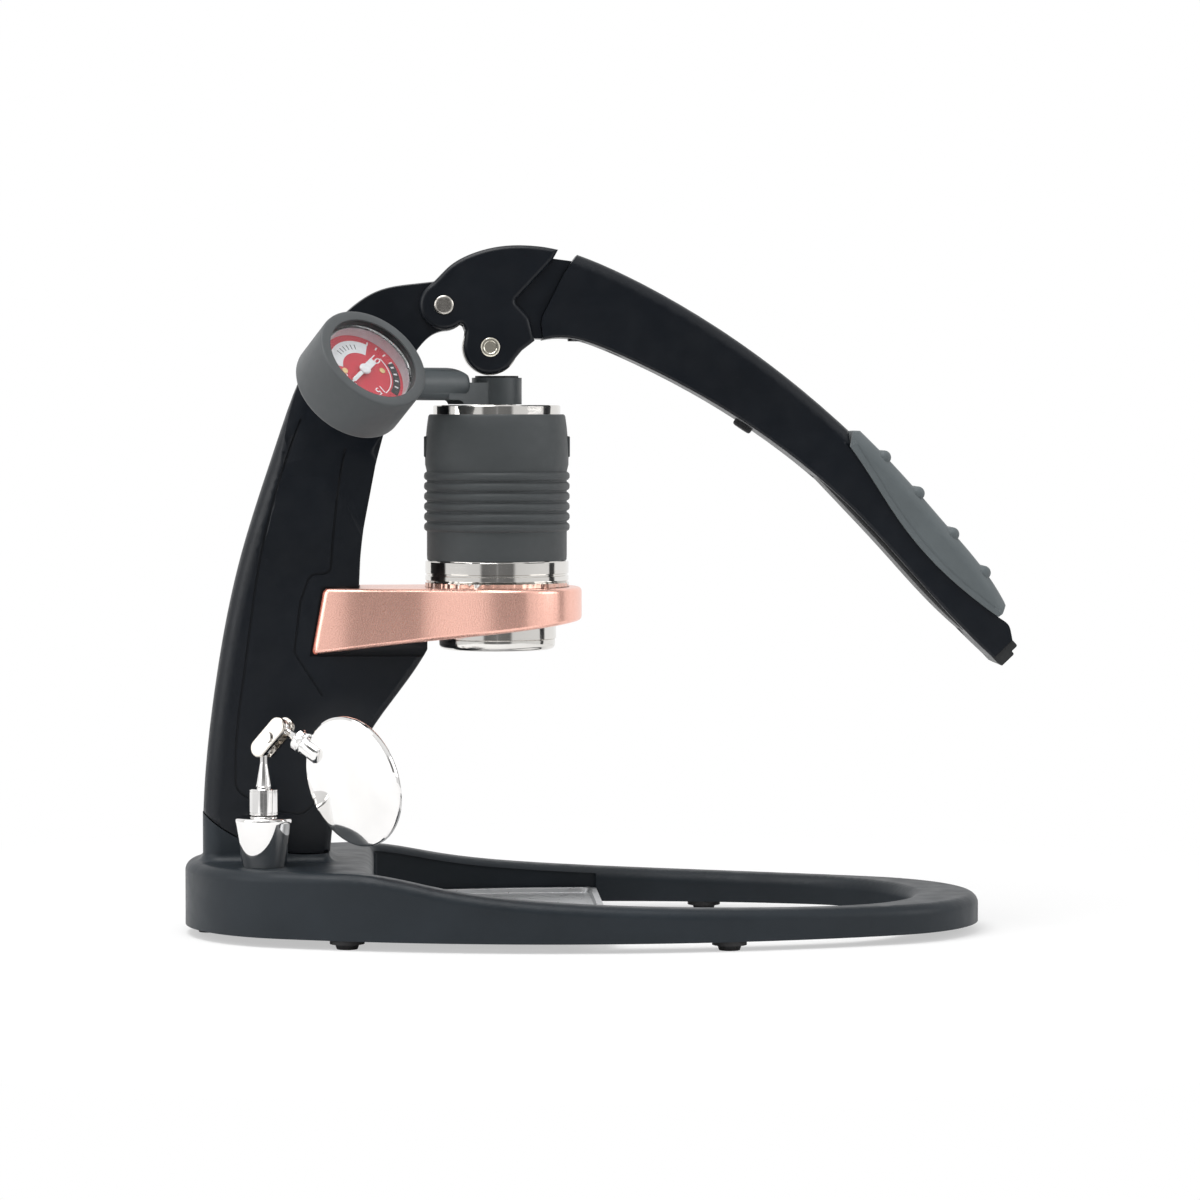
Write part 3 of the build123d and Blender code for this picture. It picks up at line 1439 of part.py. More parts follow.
lip_radius = gauge_cover_radius - gauge_lip_width
cover_wall = gauge_cover_radius - gauge_case_radius
with BuildPart() as gauge_cover:
    revolve(
        gauge_turned(
            (0, -gauge_back),
            (gauge_cover_radius, -gauge_back),
            (gauge_cover_radius, gauge_front),
            (lip_radius, gauge_front),
            (lip_radius, case_front + 1.1),
            (gauge_case_radius + seat_gap, case_front + 1.1),
            (gauge_case_radius + seat_gap, case_back - seat_gap),
            (0, case_back - seat_gap),
        ),
        axis=gauge_axis,
    )
    rims = gauge_cover.edges().filter_by(GeomType.CIRCLE).filter_by(
        lambda edge: edge.radius > gauge_cover_radius - 0.1
    )
    rims = rims.sort_by(gauge_axis)
    fillet(rims[0], radius=2.5)
    fillet(rims[-1], radius=0.8)
    with BuildSketch(stem_plane.offset(case_face - 6)):
        Circle(gauge_stem_radius + moving_gap)
    extrude(amount=6 + cover_wall, mode=Mode.SUBTRACT)
gauge_cover.part.label = "gauge_cover"
export_step(gauge_cover.part, "parts/gauge_cover.step")

with BuildPart() as gauge_bezel:
    revolve(
        gauge_turned(
            (case_bore - 0.4, case_front + seat_gap),
            (lip_radius - seat_gap, case_front + seat_gap),
            (lip_radius - seat_gap, gauge_front - 0.8),
            (lip_radius - 0.9, gauge_front - 0.8),
            (lip_radius - 0.9, gauge_front - 1.6),
            (case_bore - 0.4, gauge_front - 1.9),
        ),
        axis=gauge_axis,
    )
gauge_bezel.part.label = "gauge_bezel"
export_step(gauge_bezel.part, "parts/gauge_bezel.step")

with BuildPart() as gauge_lens:
    with BuildSketch(dial_plane.offset(gauge_lens_ledge)):
        Circle(lens_radius)
    extrude(amount=gauge_lens_thickness)
gauge_lens.part.label = "gauge_lens"
export_step(gauge_lens.part, "parts/gauge_lens.step")

dial_screw_places = [(gauge_screw_reach, 0), (-gauge_screw_reach, 0)]
with BuildPart() as gauge_dial:
    with BuildSketch(dial_plane.offset(gauge_dial_level)):
        Circle(case_bore - seat_gap)
        Circle(gauge_arbor_radius + moving_gap, mode=Mode.SUBTRACT)
        with Locations(*dial_screw_places):
            Circle(gauge_arbor_radius + seat_gap, mode=Mode.SUBTRACT)
    extrude(amount=gauge_dial_thickness)
gauge_dial.part.label = "gauge_dial"
export_step(gauge_dial.part, "parts/gauge_dial.step")

with BuildPart() as gauge_screws:
    with BuildSketch(dial_plane.offset(gauge_dial_level + gauge_dial_thickness)):
        with Locations(*dial_screw_places):
            Circle(gauge_arbor_radius * 1.5)
    extrude(amount=0.5)
    with BuildSketch(dial_plane.offset(gauge_dial_level + gauge_dial_thickness)):
        with Locations(*dial_screw_places):
            Circle(gauge_arbor_radius)
    extrude(amount=-3.5)
gauge_screws.part.label = "gauge_screws"
export_step(gauge_screws.part, "parts/gauge_screws.step")

with BuildPart() as gauge_movement:
    with BuildSketch(dial_plane.offset(case_floor + seat_gap)):
        Circle(gauge_works_radius)
    extrude(amount=gauge_dial_level - case_floor - 2 * seat_gap)
    with BuildSketch(dial_plane.offset(gauge_dial_level)):
        Circle(gauge_arbor_radius + running_gap)
    extrude(amount=-6, mode=Mode.SUBTRACT)
    with BuildSketch(dial_plane.offset(gauge_dial_level)):
        with Locations(*dial_screw_places):
            Circle(gauge_arbor_radius + seat_gap)
    extrude(amount=-4, mode=Mode.SUBTRACT)
gauge_movement.part.label = "gauge_movement"
export_step(gauge_movement.part, "parts/gauge_movement.step")

needle_direction = radians(needle_angle)
needle_plane = Plane(
    origin=gauge_centre + gauge_needle_level * gauge_facing,
    x_dir=dial_plane.x_dir * cos(needle_direction) + dial_plane.y_dir * sin(needle_direction),
    z_dir=gauge_facing,
)
with BuildPart() as gauge_needle:
    with BuildSketch(needle_plane):
        Circle(2 * gauge_arbor_radius)
        with BuildLine():
            Polyline(
                (-gauge_needle_tail, -0.9),
                (0, -0.7),
                (gauge_needle_length, -0.2),
                (gauge_needle_length, 0.2),
                (0, 0.7),
                (-gauge_needle_tail, 0.9),
                close=True,
            )
        make_face()
        Circle(gauge_arbor_radius + seat_gap / 2, mode=Mode.SUBTRACT)
    extrude(amount=gauge_needle_thickness)
gauge_needle.part.label = "gauge_needle"
export_step(gauge_needle.part, "parts/gauge_needle.step")

with BuildPart() as gauge_arbor:
    with BuildSketch(dial_plane.offset(gauge_needle_level + gauge_needle_thickness + 0.4)):
        Circle(gauge_arbor_radius)
    extrude(amount=-(gauge_needle_level + gauge_needle_thickness + 0.4 - gauge_dial_level + 5))
gauge_arbor.part.label = "gauge_arbor"
export_step(gauge_arbor.part, "parts/gauge_arbor.step")

# Mirror stand: a cone with a magnet, a threaded nut and a stem that ends in a ball
stand_axis = Axis((stand_x, stand_y, 0), (0, 0, 1))


def stand_turned(*profile):
    """Half section of a turned piece of the stand, given as radius and height."""
    with BuildSketch(Plane.XZ.offset(-stand_y)) as half:
        with BuildLine():
            Polyline(*[(stand_x + radius, z) for radius, z in profile], close=True)
        make_face()
    return half.sketch


foot_top_z = ledge_top + stand_foot_height
with BuildPart() as stand_foot:
    revolve(
        stand_turned(
            (0, ledge_top),
            (stand_foot_bottom_radius, ledge_top),
            (stand_foot_top_radius, foot_top_z),
            (stand_stem_radius + 1, foot_top_z + 0.6),
            (0, foot_top_z + 0.6),
        ),
        axis=stand_axis,
    )
    rim = stand_foot.edges().filter_by(GeomType.CIRCLE).filter_by(
        lambda edge: edge.radius > stand_foot_top_radius - 0.1
    )
    fillet(rim, radius=1.4)
    with BuildSketch(Plane.XY.offset(ledge_top)):
        with Locations((stand_x, stand_y)):
            Circle(magnet_radius + seat_gap)
    extrude(amount=magnet_height, mode=Mode.SUBTRACT)
stand_foot.part.label = "stand_foot"
export_step(stand_foot.part, "parts/stand_foot.step")

with BuildPart() as stand_magnet:
    with BuildSketch(Plane.XY.offset(ledge_top + moving_gap)):
        with Locations((stand_x, stand_y)):
            Circle(magnet_radius)
    extrude(amount=magnet_height - moving_gap - seat_gap)
stand_magnet.part.label = "stand_magnet"
export_step(stand_magnet.part, "parts/stand_magnet.step")

nut_bottom_z = foot_top_z + 0.6 + seat_gap
nut_top_z = nut_bottom_z + stand_nut_height
with BuildPart() as stand_stem:
    with BuildSketch(Plane.XY.offset(nut_bottom_z)):
        with Locations((stand_x, stand_y)):
            Circle(stand_nut_radius)
    extrude(amount=stand_nut_height)
    chamfer(stand_stem.edges().filter_by(GeomType.CIRCLE), length=0.5)
    revolve(
        stand_turned(
            (0, nut_top_z - 1),
            (stand_stem_radius * 0.85, nut_top_z - 1),
            (stand_stem_radius * 0.85, nut_top_z + 0.6),
            (stand_stem_radius, nut_top_z + 0.9),
            (stand_neck_radius, lower_ball_z - 5.2),
            (stand_neck_radius, lower_ball_z),
            (0, lower_ball_z),
        ),
        axis=stand_axis,
    )
    with Locations((stand_x, stand_y, lower_ball_z)):
        Sphere(ball_radius)
stand_stem.part.label = "stand_stem"
export_step(stand_stem.part, "parts/stand_stem.step")

# Link: two long oval plates that clamp both balls, with one screw between them
lower_ball = Vector(stand_x, stand_y, lower_ball_z)
link_plane = Plane(origin=lower_ball, x_dir=link_rise, z_dir=link_normal)
upper_ball = link_plane.from_local_coords(Vector(link_length, 0, 0))
with BuildPart() as mirror_link:
    for side in (-1, 1):
        with BuildSketch(link_plane.offset(side * link_half_gap)):
            with Locations((link_length / 2, 0)):
                SlotCenterToCenter(link_length, 2 * link_end_radius)
        extrude(amount=side * link_sheet)
    plate_rims = mirror_link.edges().filter_by(
        lambda edge: abs(link_plane.to_local_coords(edge.center()).Z) > link_half_gap + link_sheet - 0.01
    )
    fillet(plate_rims, radius=0.5)
    with Locations(lower_ball, upper_ball):
        Sphere(ball_radius + ball_clearance, mode=Mode.SUBTRACT)
    with BuildSketch(link_plane.offset(-link_half_gap - link_sheet)):
        with Locations((link_length / 2, 0)):
            Circle(link_screw_radius + seat_gap)
    extrude(amount=2 * (link_half_gap + link_sheet), mode=Mode.SUBTRACT)
mirror_link.part.label = "mirror_link"
export_step(mirror_link.part, "parts/mirror_link.step")

screw_reach = link_half_gap + link_sheet
with BuildPart() as link_screw:
    with BuildSketch(link_plane.offset(-screw_reach - 0.5)):
        with Locations((link_length / 2, 0)):
            Circle(link_screw_radius)
    extrude(amount=2 * screw_reach + 1)
    for side in (-1, 1):
        with BuildSketch(link_plane.offset(side * (screw_reach + seat_gap))):
            with Locations((link_length / 2, 0)):
                Circle(1.8 * link_screw_radius)
        extrude(amount=side * 0.9)
link_screw.part.label = "link_screw"
export_step(link_screw.part, "parts/link_screw.step")

# Stud from the upper ball to the mirror, with its nut
back_normal = Vector(*mirror_back_normal).normalized()
stud_direction = Vector(*mirror_stud_direction)
stud_direction = (stud_direction - back_normal * stud_direction.dot(back_normal)).normalized()
stud_plane = Plane(origin=upper_ball, x_dir=back_normal.cross(stud_direction), z_dir=stud_direction)
stud_axis = Axis(upper_ball, stud_direction)
stud_section = Plane(
    origin=upper_ball, x_dir=stud_plane.x_dir, z_dir=stud_plane.x_dir.cross(stud_direction)
)
mirror_centre = upper_ball + mirror_centre_reach * stud_direction
mirror_plane = Plane(origin=mirror_centre, x_dir=stud_direction, z_dir=back_normal)
boss_end = mirror_centre_reach - mirror_radius + boss_overlap
boss_start = boss_end - 2 * boss_overlap
with BuildPart() as mirror_stud:
    with BuildSketch(stud_section):
        with BuildLine():
            Polyline(
                (0, 0),
                (stand_neck_radius, 0),
                (stand_neck_radius, 4.6),
                (boss_radius * 0.6, boss_start),
                (boss_radius * 0.6, boss_start + 0.8),
                (stud_nut_radius - 0.5, boss_start + 0.8),
                (stud_nut_radius, boss_start + 1.3),
                (stud_nut_radius, boss_start + 4.3),
                (stud_nut_radius - 0.5, boss_start + 4.8),
                (boss_radius, boss_start + 4.8),
                (boss_radius, boss_end - 0.8),
                (boss_radius - 0.8, boss_end),
                (0, boss_end),
                close=True,
            )
        make_face()
    revolve(axis=stud_axis)
    with Locations(upper_ball):
        Sphere(ball_radius)
    with BuildSketch(mirror_plane.offset(-mirror_thickness / 2 - seat_gap)):
        Circle(mirror_radius + seat_gap)
    extrude(amount=mirror_thickness + 2 * seat_gap, mode=Mode.SUBTRACT)
mirror_stud.part.label = "mirror_stud"
export_step(mirror_stud.part, "parts/mirror_stud.step")

# Mirror: a polished dish with its glass on the side turned up to the basket
with BuildPart() as mirror_disc:
    with BuildSketch(mirror_plane.offset(-mirror_thickness / 2)):
        Circle(mirror_radius)
    extrude(amount=mirror_thickness)
    fillet(mirror_disc.edges().filter_by(GeomType.CIRCLE), radius=0.5)
    with BuildSketch(mirror_plane.offset(-mirror_thickness / 2)):
        Circle(mirror_radius - mirror_glass_rim)
    extrude(amount=mirror_glass_thickness, mode=Mode.SUBTRACT)
mirror_disc.part.label = "mirror_disc"
export_step(mirror_disc.part, "parts/mirror_disc.step")

with BuildPart() as mirror_glass:
    with BuildSketch(mirror_plane.offset(-mirror_thickness / 2 + seat_gap)):
        Circle(mirror_radius - mirror_glass_rim - seat_gap)
    extrude(amount=mirror_glass_thickness - 2 * seat_gap)
mirror_glass.part.label = "mirror_glass"
export_step(mirror_glass.part, "parts/mirror_glass.step")

# Drip tray: a shallow pressed pan that lies on the ring's lugs
tray_bottom_z = lug_top_z + seat_gap
tray_inset = rail_width + tray_rail_gap
with BuildPart() as drip_tray:
    with BuildSketch(Plane.XY.offset(tray_bottom_z)):
        add(side_band(tray_inset, tray_left_x, tray_right_x, tray_corner_radius))
    extrude(amount=tray_height)
    with BuildSketch(Plane.XY.offset(tray_bottom_z + tray_sheet)):
        add(
            side_band(
                tray_inset + tray_rim,
                tray_left_x + tray_rim,
                tray_right_x - tray_rim,
                tray_corner_radius,
            )
        )
    extrude(amount=tray_height, taper=-tray_wall_lean, mode=Mode.SUBTRACT)
    under = drip_tray.faces().sort_by(Axis.Z)[0].edges()
    fillet(under, radius=tray_sheet)
drip_tray.part.label = "drip_tray"
export_step(drip_tray.part, "parts/drip_tray.step")
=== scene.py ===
"""Outer look of a lever espresso machine, built piece by piece round its solid model."""

from math import cos, hypot, pi, radians, sin, sqrt

import bpy
from bpy.props import FloatProperty, FloatVectorProperty, IntProperty, PointerProperty
from mathutils import Matrix, Vector


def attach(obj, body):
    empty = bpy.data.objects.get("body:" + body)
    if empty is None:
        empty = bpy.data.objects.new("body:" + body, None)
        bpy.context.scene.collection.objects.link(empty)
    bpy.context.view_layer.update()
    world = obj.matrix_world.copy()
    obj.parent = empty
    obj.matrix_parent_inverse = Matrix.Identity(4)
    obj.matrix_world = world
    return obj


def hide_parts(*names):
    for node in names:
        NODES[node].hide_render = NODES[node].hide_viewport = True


bl_info = {
    "name": "Lever Espresso Machine",
    "version": (1, 0, 0),
    "blender": (4, 5, 0),
    "location": "View3D > Sidebar > Espresso",
    "description": "Builds the outer look of a lever espresso machine round its solid model",
    "category": "Object",
}

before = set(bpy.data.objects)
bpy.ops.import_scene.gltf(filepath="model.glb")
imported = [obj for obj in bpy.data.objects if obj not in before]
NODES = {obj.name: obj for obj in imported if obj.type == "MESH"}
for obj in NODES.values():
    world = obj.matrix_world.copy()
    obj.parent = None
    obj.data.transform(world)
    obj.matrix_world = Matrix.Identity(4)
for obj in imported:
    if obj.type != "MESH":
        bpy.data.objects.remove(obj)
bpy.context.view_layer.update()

MM = 0.001
POLE = 0.002  # radius in millimetres of a ring that is merged to a point
MERGE = 0.000004
SMOOTH_ANGLE = radians(38)
TURNED_ANGLE = radians(30)
STEP_ANGLE = radians(25)
WIDE_ANGLE = radians(40)
SHARP_ANGLE = radians(32)

# Places shared with the solid model, in millimetres
BREW_X = -39.7
POST_FRONT = (-92.7, 133.5)
FORK_TOP = 132.7
FORK_TIP = (-110.6, 107.6)
FORK_TIP_LEAN = 0.1833
FORK_SLOPE = 0.1179
LEDGE_TOP = 28.4
STAND_PLACE = (-128.5, -32.0)
BALL_HEIGHT = 73.2
BALL_RADIUS = 3.0
LINK_LENGTH = 11.5
LINK_RISE = (6.9, -3.95, 8.3)
LINK_FACING = (-0.58, -0.81, 0.1)
SOLID_MIRROR = ((-0.712, -0.604, -0.356), (0.687, -0.498, -0.530))
SEEN_MIRROR = ((-0.72, -0.665, -0.2), (0.69, -0.52, -0.43))
DISC_REACH = 40.5
GAUGE_BEARING = radians(36.7)
GAUGE_TILT = radians(37.0)
GAUGE_REACH = 66.0
GAUGE_Z = 212.5


# Sizes and colours that a user would change


def length(name, description, millimetres):
    """Length property given in millimetres."""
    return FloatProperty(
        name=name, description=description, default=millimetres * MM, min=0.0, unit="LENGTH"
    )


def colour(name, description, value):
    """Colour property."""
    return FloatVectorProperty(
        name=name, description=description, default=value, size=3, min=0.0, max=1.0, subtype="COLOR"
    )


class MachineSizes(bpy.types.PropertyGroup):
    """Sizes of the machine's outer pieces."""

    turn_steps: IntProperty(name="Turn steps", description="Sides of a turned piece", default=128, min=24)
    casting_edge: length("Casting edge", "Rounding of the castings' sharp edges", 0.45)
    fork_edge: length("Fork edge", "Rounding of the copper fork's edges", 1.7)
    sleeve_rib: length("Sleeve rib", "Height of a rib on the cylinder's sleeve", 1.1)


class MachineColours(bpy.types.PropertyGroup):
    """Colours of the machine's finishes."""

    base: colour("Base", "Coat of the base ring", (0.0125, 0.0172, 0.0222))
    post: colour("Post", "Coat of the post, head and arm", (0.0028, 0.0046, 0.0078))
    sleeve: colour("Sleeve", "Moulding round the cylinder", (0.041, 0.0467, 0.0492))
    grip: colour("Grip", "Soft moulding of the grip", (0.085, 0.100, 0.106))
    cover: colour("Gauge cover", "Soft cover of the gauge", (0.0594, 0.0653, 0.0686))
    copper: colour("Copper", "Coat of the fork", (0.97, 0.555, 0.455))
    steel: colour("Steel", "Polished steel", (0.74, 0.72, 0.69))
    chrome: colour("Chrome", "Chrome plating", (0.86, 0.85, 0.84))
    dial: colour("Dial", "Red enamel of the dial", (0.62, 0.012, 0.035))


class StudioSettings(bpy.types.PropertyGroup):
    """Camera and light."""

    focal: FloatProperty(name="Focal length", description="Lens in millimetres", default=128.58, min=20.0)
    distance: length("Distance", "Camera distance from the machine's middle plane", 1650.0)
    camera_height: length("Camera height", "Height of the camera above the floor", 200.7)
    aim_height: length("Aim height", "Height at which the camera looks", 127.4)
    sky: FloatProperty(name="Sky", description="Strength of the even light", default=0.62, min=0.0)
    key: FloatProperty(name="Key", description="Power of the upper lamp in watts", default=3.0, min=0.0)
    side: FloatProperty(name="Side", description="Power of each side lamp in watts", default=1.6, min=0.0)


# Shaping by hand


def clear_selection():
    """Leaves edit mode and deselects everything."""
    if bpy.context.object and bpy.context.object.mode != "OBJECT":
        bpy.ops.object.mode_set(mode="OBJECT")
    bpy.ops.object.select_all(action="DESELECT")


def take(piece):
    """Makes one piece the selected and active object."""
    clear_selection()
    piece.select_set(True)
    bpy.context.view_layer.objects.active = piece


def edit_all(piece):
    """Opens a piece in edit mode with all of it selected."""
    take(piece)
    bpy.ops.object.mode_set(mode="EDIT")
    bpy.ops.mesh.select_all(action="SELECT")


def done_editing():
    """Closes edit mode."""
    bpy.ops.object.mode_set(mode="OBJECT")


def settle(piece):
    """Puts a piece's place into its mesh."""
    take(piece)
    bpy.ops.object.transform_apply(location=True, rotation=True, scale=True)


def stand_at(piece, axes):
    """Takes a piece from where it was shaped to its place on the machine."""
    settle(piece)
    piece.matrix_world = axes
    settle(piece)


def close_seams(piece):
    """Merges what lies in one place and turns the faces outwards."""
    edit_all(piece)
    bpy.ops.mesh.remove_doubles(threshold=MERGE)
    bpy.ops.mesh.normals_make_consistent(inside=False)
    done_editing()


def smooth(piece, angle=SMOOTH_ANGLE):
    """Smooth shading, with the sharp edges kept."""
    take(piece)
    bpy.ops.object.shade_smooth_by_angle(angle=angle)


def even_shading(piece):
    """Smooth shading in which the large faces stay flat."""
    smooth(piece)
    weights = piece.modifiers.new("Shading", "WEIGHTED_NORMAL")
    weights.keep_sharp = True
    weights.weight = 100
    bpy.ops.object.modifier_apply(modifier=weights.name)


def round_edges(piece, width, segments=3):
    """Rounds a piece's sharp edges."""
    take(piece)
    edges = piece.modifiers.new("Edges", "BEVEL")
    edges.width = width
    edges.segments = segments
    edges.limit_method = "ANGLE"
    edges.angle_limit = SHARP_ANGLE
    edges.use_clamp_overlap = True
    edges.miter_outer = "MITER_ARC"
    bpy.ops.object.modifier_apply(modifier=edges.name)


def join(target, *others):
    """Joins pieces into one."""
    clear_selection()
    for other in others:
        other.select_set(True)
    target.select_set(True)
    bpy.context.view_layer.objects.active = target
    bpy.ops.object.join()


def turned(name, profile, steps=None, closed=True):
    """Turns a profile of radius and height, in millimetres, round the upright axis."""
    clear_selection()
    steps = steps or bpy.context.scene.machine_sizes.turn_steps
    radius, height = profile[0]
    bpy.ops.mesh.primitive_circle_add(
        vertices=steps, radius=max(radius, POLE) * MM, location=(0, 0, height * MM)
    )
    piece = bpy.context.object
    piece.name = name
    bpy.ops.object.mode_set(mode="EDIT")
    bpy.ops.mesh.select_all(action="SELECT")
    ring = list(profile) + ([profile[0]] if closed else [])
    for (r_from, z_from), (r_to, z_to) in zip(ring, ring[1:]):
        bpy.ops.mesh.extrude_edges_move(
            TRANSFORM_OT_translate={"value": (0, 0, (z_to - z_from) * MM)}
        )
        share = max(r_to, POLE) / max(r_from, POLE)
        bpy.ops.transform.resize(value=(share, share, 1), center_override=(0, 0, z_to * MM))
    done_editing()
    settle(piece)
    edit_all(piece)
    bpy.ops.mesh.remove_doubles(threshold=2 * POLE * MM)
    bpy.ops.mesh.normals_make_consistent(inside=False)
    done_editing()
    return piece


def copied(name, node):
    """Starts a piece from a solid's shape, with its loose triangles merged."""
    clear_selection()
    piece = bpy.data.objects.new(name, NODES[node].data.copy())
    piece.data.materials.clear()
    bpy.context.scene.collection.objects.link(piece)
    edit_all(piece)
    bpy.ops.mesh.remove_doubles(threshold=MERGE)
    bpy.ops.mesh.dissolve_limited(angle_limit=radians(0.15))
    done_editing()
    return piece


def block(name, centre, size):
    """Box of a given centre and size in millimetres."""
    clear_selection()
    bpy.ops.mesh.primitive_cube_add(size=1, location=[c * MM for c in centre])
    piece = bpy.context.object
    piece.name = name
    piece.scale = [s * MM for s in size]
    settle(piece)
    return piece


def paint(piece, material):
    """Gives a piece one finish."""
    piece.data.materials.clear()
    piece.data.materials.append(material)


def fit(piece, body, slot, coat, *nodes):
    """Gives a finished piece its coat and hands it to the frame."""
    paint(piece, finish(coat))
    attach(piece, body)
    if nodes:
        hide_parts(*nodes)


def fit_turned(
    name, profile, axes, body, slot, coat, *nodes, closed=True, angle=TURNED_ANGLE, steps=None
):
    """Turns a piece, takes it to its place and hands it over."""
    piece = turned(name, profile, steps, closed)
    stand_at(piece, axes)
    smooth(piece, angle)
    fit(piece, body, slot, coat, *nodes)


def fit_copied(name, body, slot, coat, node, edge=0.0, segments=2):
    """Copies a solid, rounds its edges, evens its shading and hands it over."""
    piece = copied(name, node)
    if edge:
        round_edges(piece, edge, segments)
    even_shading(piece)
    fit(piece, body, slot, coat, node)


def basis(origin, right, up, out):
    """Place matrix from an origin in millimetres and three directions."""
    axes = Matrix((right, up, out)).transposed().to_4x4()
    return Matrix.Translation(Vector(origin) * MM) @ axes


def brew_place():
    """Place of the brew head's axis."""
    return Matrix.Translation((BREW_X * MM, 0, 0))


def gauge_axes():
    """Place of the gauge: x to its right, y to the top of its dial, z out of its face."""
    right = Vector((cos(GAUGE_BEARING), sin(GAUGE_BEARING), 0))
    centre = Vector((BREW_X, 0, GAUGE_Z)) - right * GAUGE_REACH
    level = Vector((sin(GAUGE_BEARING), -cos(GAUGE_BEARING), 0)) * cos(GAUGE_TILT)
    out = level + Vector((0, 0, sin(GAUGE_TILT)))
    return basis(centre, right, out.cross(right), out)


def mirror_axes(reach, directions):
    """Place along the mirror's stud: x along the stud, z out of the polished side that is seen."""
    lower = Vector((*STAND_PLACE, BALL_HEIGHT))
    rise = Vector(LINK_RISE)
    normal = Vector(LINK_FACING).normalized()
    rise = (rise - normal * rise.dot(normal)).normalized()
    upper = lower + rise * LINK_LENGTH
    facing, stud = directions
    out = Vector(facing).normalized()
    along = Vector(stud)
    along = (along - out * along.dot(out)).normalized()
    return basis(upper + along * reach, along, out.cross(along), out)


def mirror_turn():
    """Turn about the stud's ball from the solid mirror to the one that is seen."""
    return mirror_axes(0, SEEN_MIRROR) @ mirror_axes(0, SOLID_MIRROR).inverted()


# Finishes


NOISE_RANGE = (0.3, 0.7)
LONG_GRAIN = (180.0, 180.0, 1800.0)
TRAY_GRAIN = (500.0, 500.0, 500.0)
FINE_GRAIN = (1200.0, 1200.0, 1200.0)


def add_node(tree, kind, operation=None, **values):
    """Adds a node, with its operation and the values of its inputs by name."""
    made = tree.nodes.new(kind)
    if operation:
        made.operation = operation
    for name, value in values.items():
        made.inputs[name.replace("_", " ")].default_value = value
    return made


class Finish:
    """A node material in the making, with a few helpers to lay its surface."""

    def __init__(self, name, base, roughness, metallic=0.0, **sockets):
        self.material = bpy.data.materials.new(name)
        self.material.use_nodes = True
        self.tree = self.material.node_tree
        self.shader = self.tree.nodes["Principled BSDF"]
        self.shader.inputs["Base Color"].default_value = (*base, 1)
        self.shader.inputs["Roughness"].default_value = roughness
        self.shader.inputs["Metallic"].default_value = metallic
        for socket, value in sockets.items():
            self.shader.inputs[socket.replace("_", " ")].default_value = value
        self.places = self.node("ShaderNodeTexCoord").outputs["Object"]
        self.base = base
        self.roughness = roughness
        self.heights = []
        self.material.diffuse_color = (*base, 1)

    def node(self, kind, **values):
        """Adds a node and sets its inputs by name."""
        return add_node(self.tree, kind, **values)

    def link(self, start, end):
        """Joins an output to an input."""
        self.tree.links.new(start, end)

    def stretch(self, scale):
        """Object places, scaled."""
        mapping = self.node("ShaderNodeMapping", Scale=scale)
        self.link(self.places, mapping.inputs["Vector"])
        return mapping.outputs["Vector"]

    def noise(self, scale, detail=3.0, where=None):
        """Noise at a number of cells a metre."""
        made = self.node("ShaderNodeTexNoise", Scale=scale, Detail=detail)
        self.link(where or self.places, made.inputs["Vector"])
        return made.outputs["Fac"]

    def tint(self, value, dark, light):
        """Colour from the dark to the light tint of the base colour by a value."""
        ramp = self.node("ShaderNodeValToRGB")
        for stop, position, share in zip(ramp.color_ramp.elements, NOISE_RANGE, (dark, light)):
            stop.position = position
            stop.color = (*[min(c * share, 1) for c in self.base], 1)
        self.link(value, ramp.inputs["Fac"])
        self.link(ramp.outputs["Color"], self.shader.inputs["Base Color"])

    def roughen(self, value, spread):
        """Lets the roughness vary round its middle value."""
        low, high = NOISE_RANGE
        made = self.node("ShaderNodeMapRange", From_Min=low, From_Max=high)
        made.inputs["To Min"].default_value = self.roughness - spread
        made.inputs["To Max"].default_value = self.roughness + spread
        self.link(value, made.inputs["Value"])
        self.link(made.outputs["Result"], self.shader.inputs["Roughness"])

    def bump(self, height, strength, distance):
        """Adds a layer of surface relief."""
        made = self.node("ShaderNodeBump", Strength=strength, Distance=distance)
        self.link(height, made.inputs["Height"])
        if self.heights:
            self.link(self.heights[-1].outputs["Normal"], made.inputs["Normal"])
        self.heights.append(made)
        self.link(made.outputs["Normal"], self.shader.inputs["Normal"])


def cast_coat(name, base, roughness, specular=0.5):
    """Satin powder coat on a casting: fine orange peel and faint shade changes."""
    made = Finish(name, base, roughness, Specular_IOR_Level=specular)
    made.tint(made.noise(38.0, 4.0), 0.86, 1.16)
    made.roughen(made.noise(120.0, 5.0), 0.05)
    made.bump(made.noise(2600.0, 2.0), 0.22, 0.00006)
    made.bump(made.noise(420.0, 2.0), 0.1, 0.0001)
    return made.material


def soft_moulding(name, base, roughness):
    """Matt silicone or rubber with a fine eroded surface."""
    made = Finish(name, base, roughness, Specular_IOR_Level=0.42, Sheen_Weight=0.12, Sheen_Roughness=0.5)
    made.tint(made.noise(60.0, 4.0), 0.92, 1.09)
    made.roughen(made.noise(300.0, 4.0), 0.05)
    made.bump(made.noise(3600.0, 3.0), 0.3, 0.00005)
    return made.material


def turned_metal(name, base, roughness, depth, grain=LONG_GRAIN):
    """Polished or brushed metal, its faint lines round the turning axis or its grain even."""
    made = Finish(name, base, roughness, 1.0)
    lines = made.noise(1.0, 3.0, made.stretch(grain))
    made.tint(made.noise(45.0, 4.0), 0.94, 1.04)
    made.roughen(lines, roughness * 0.35)
    made.bump(lines, depth, 0.00002)
    return made.material


def metallic_coat(name, base):
    """Copper coloured coat with a fine sparkling grain."""
    made = Finish(name, base, 0.27, 0.8)
    grain = made.noise(4200.0, 1.0)
    made.tint(grain, 0.98, 1.0)
    made.roughen(grain, 0.02)
    made.bump(grain, 0.05, 0.00001)
    return made.material


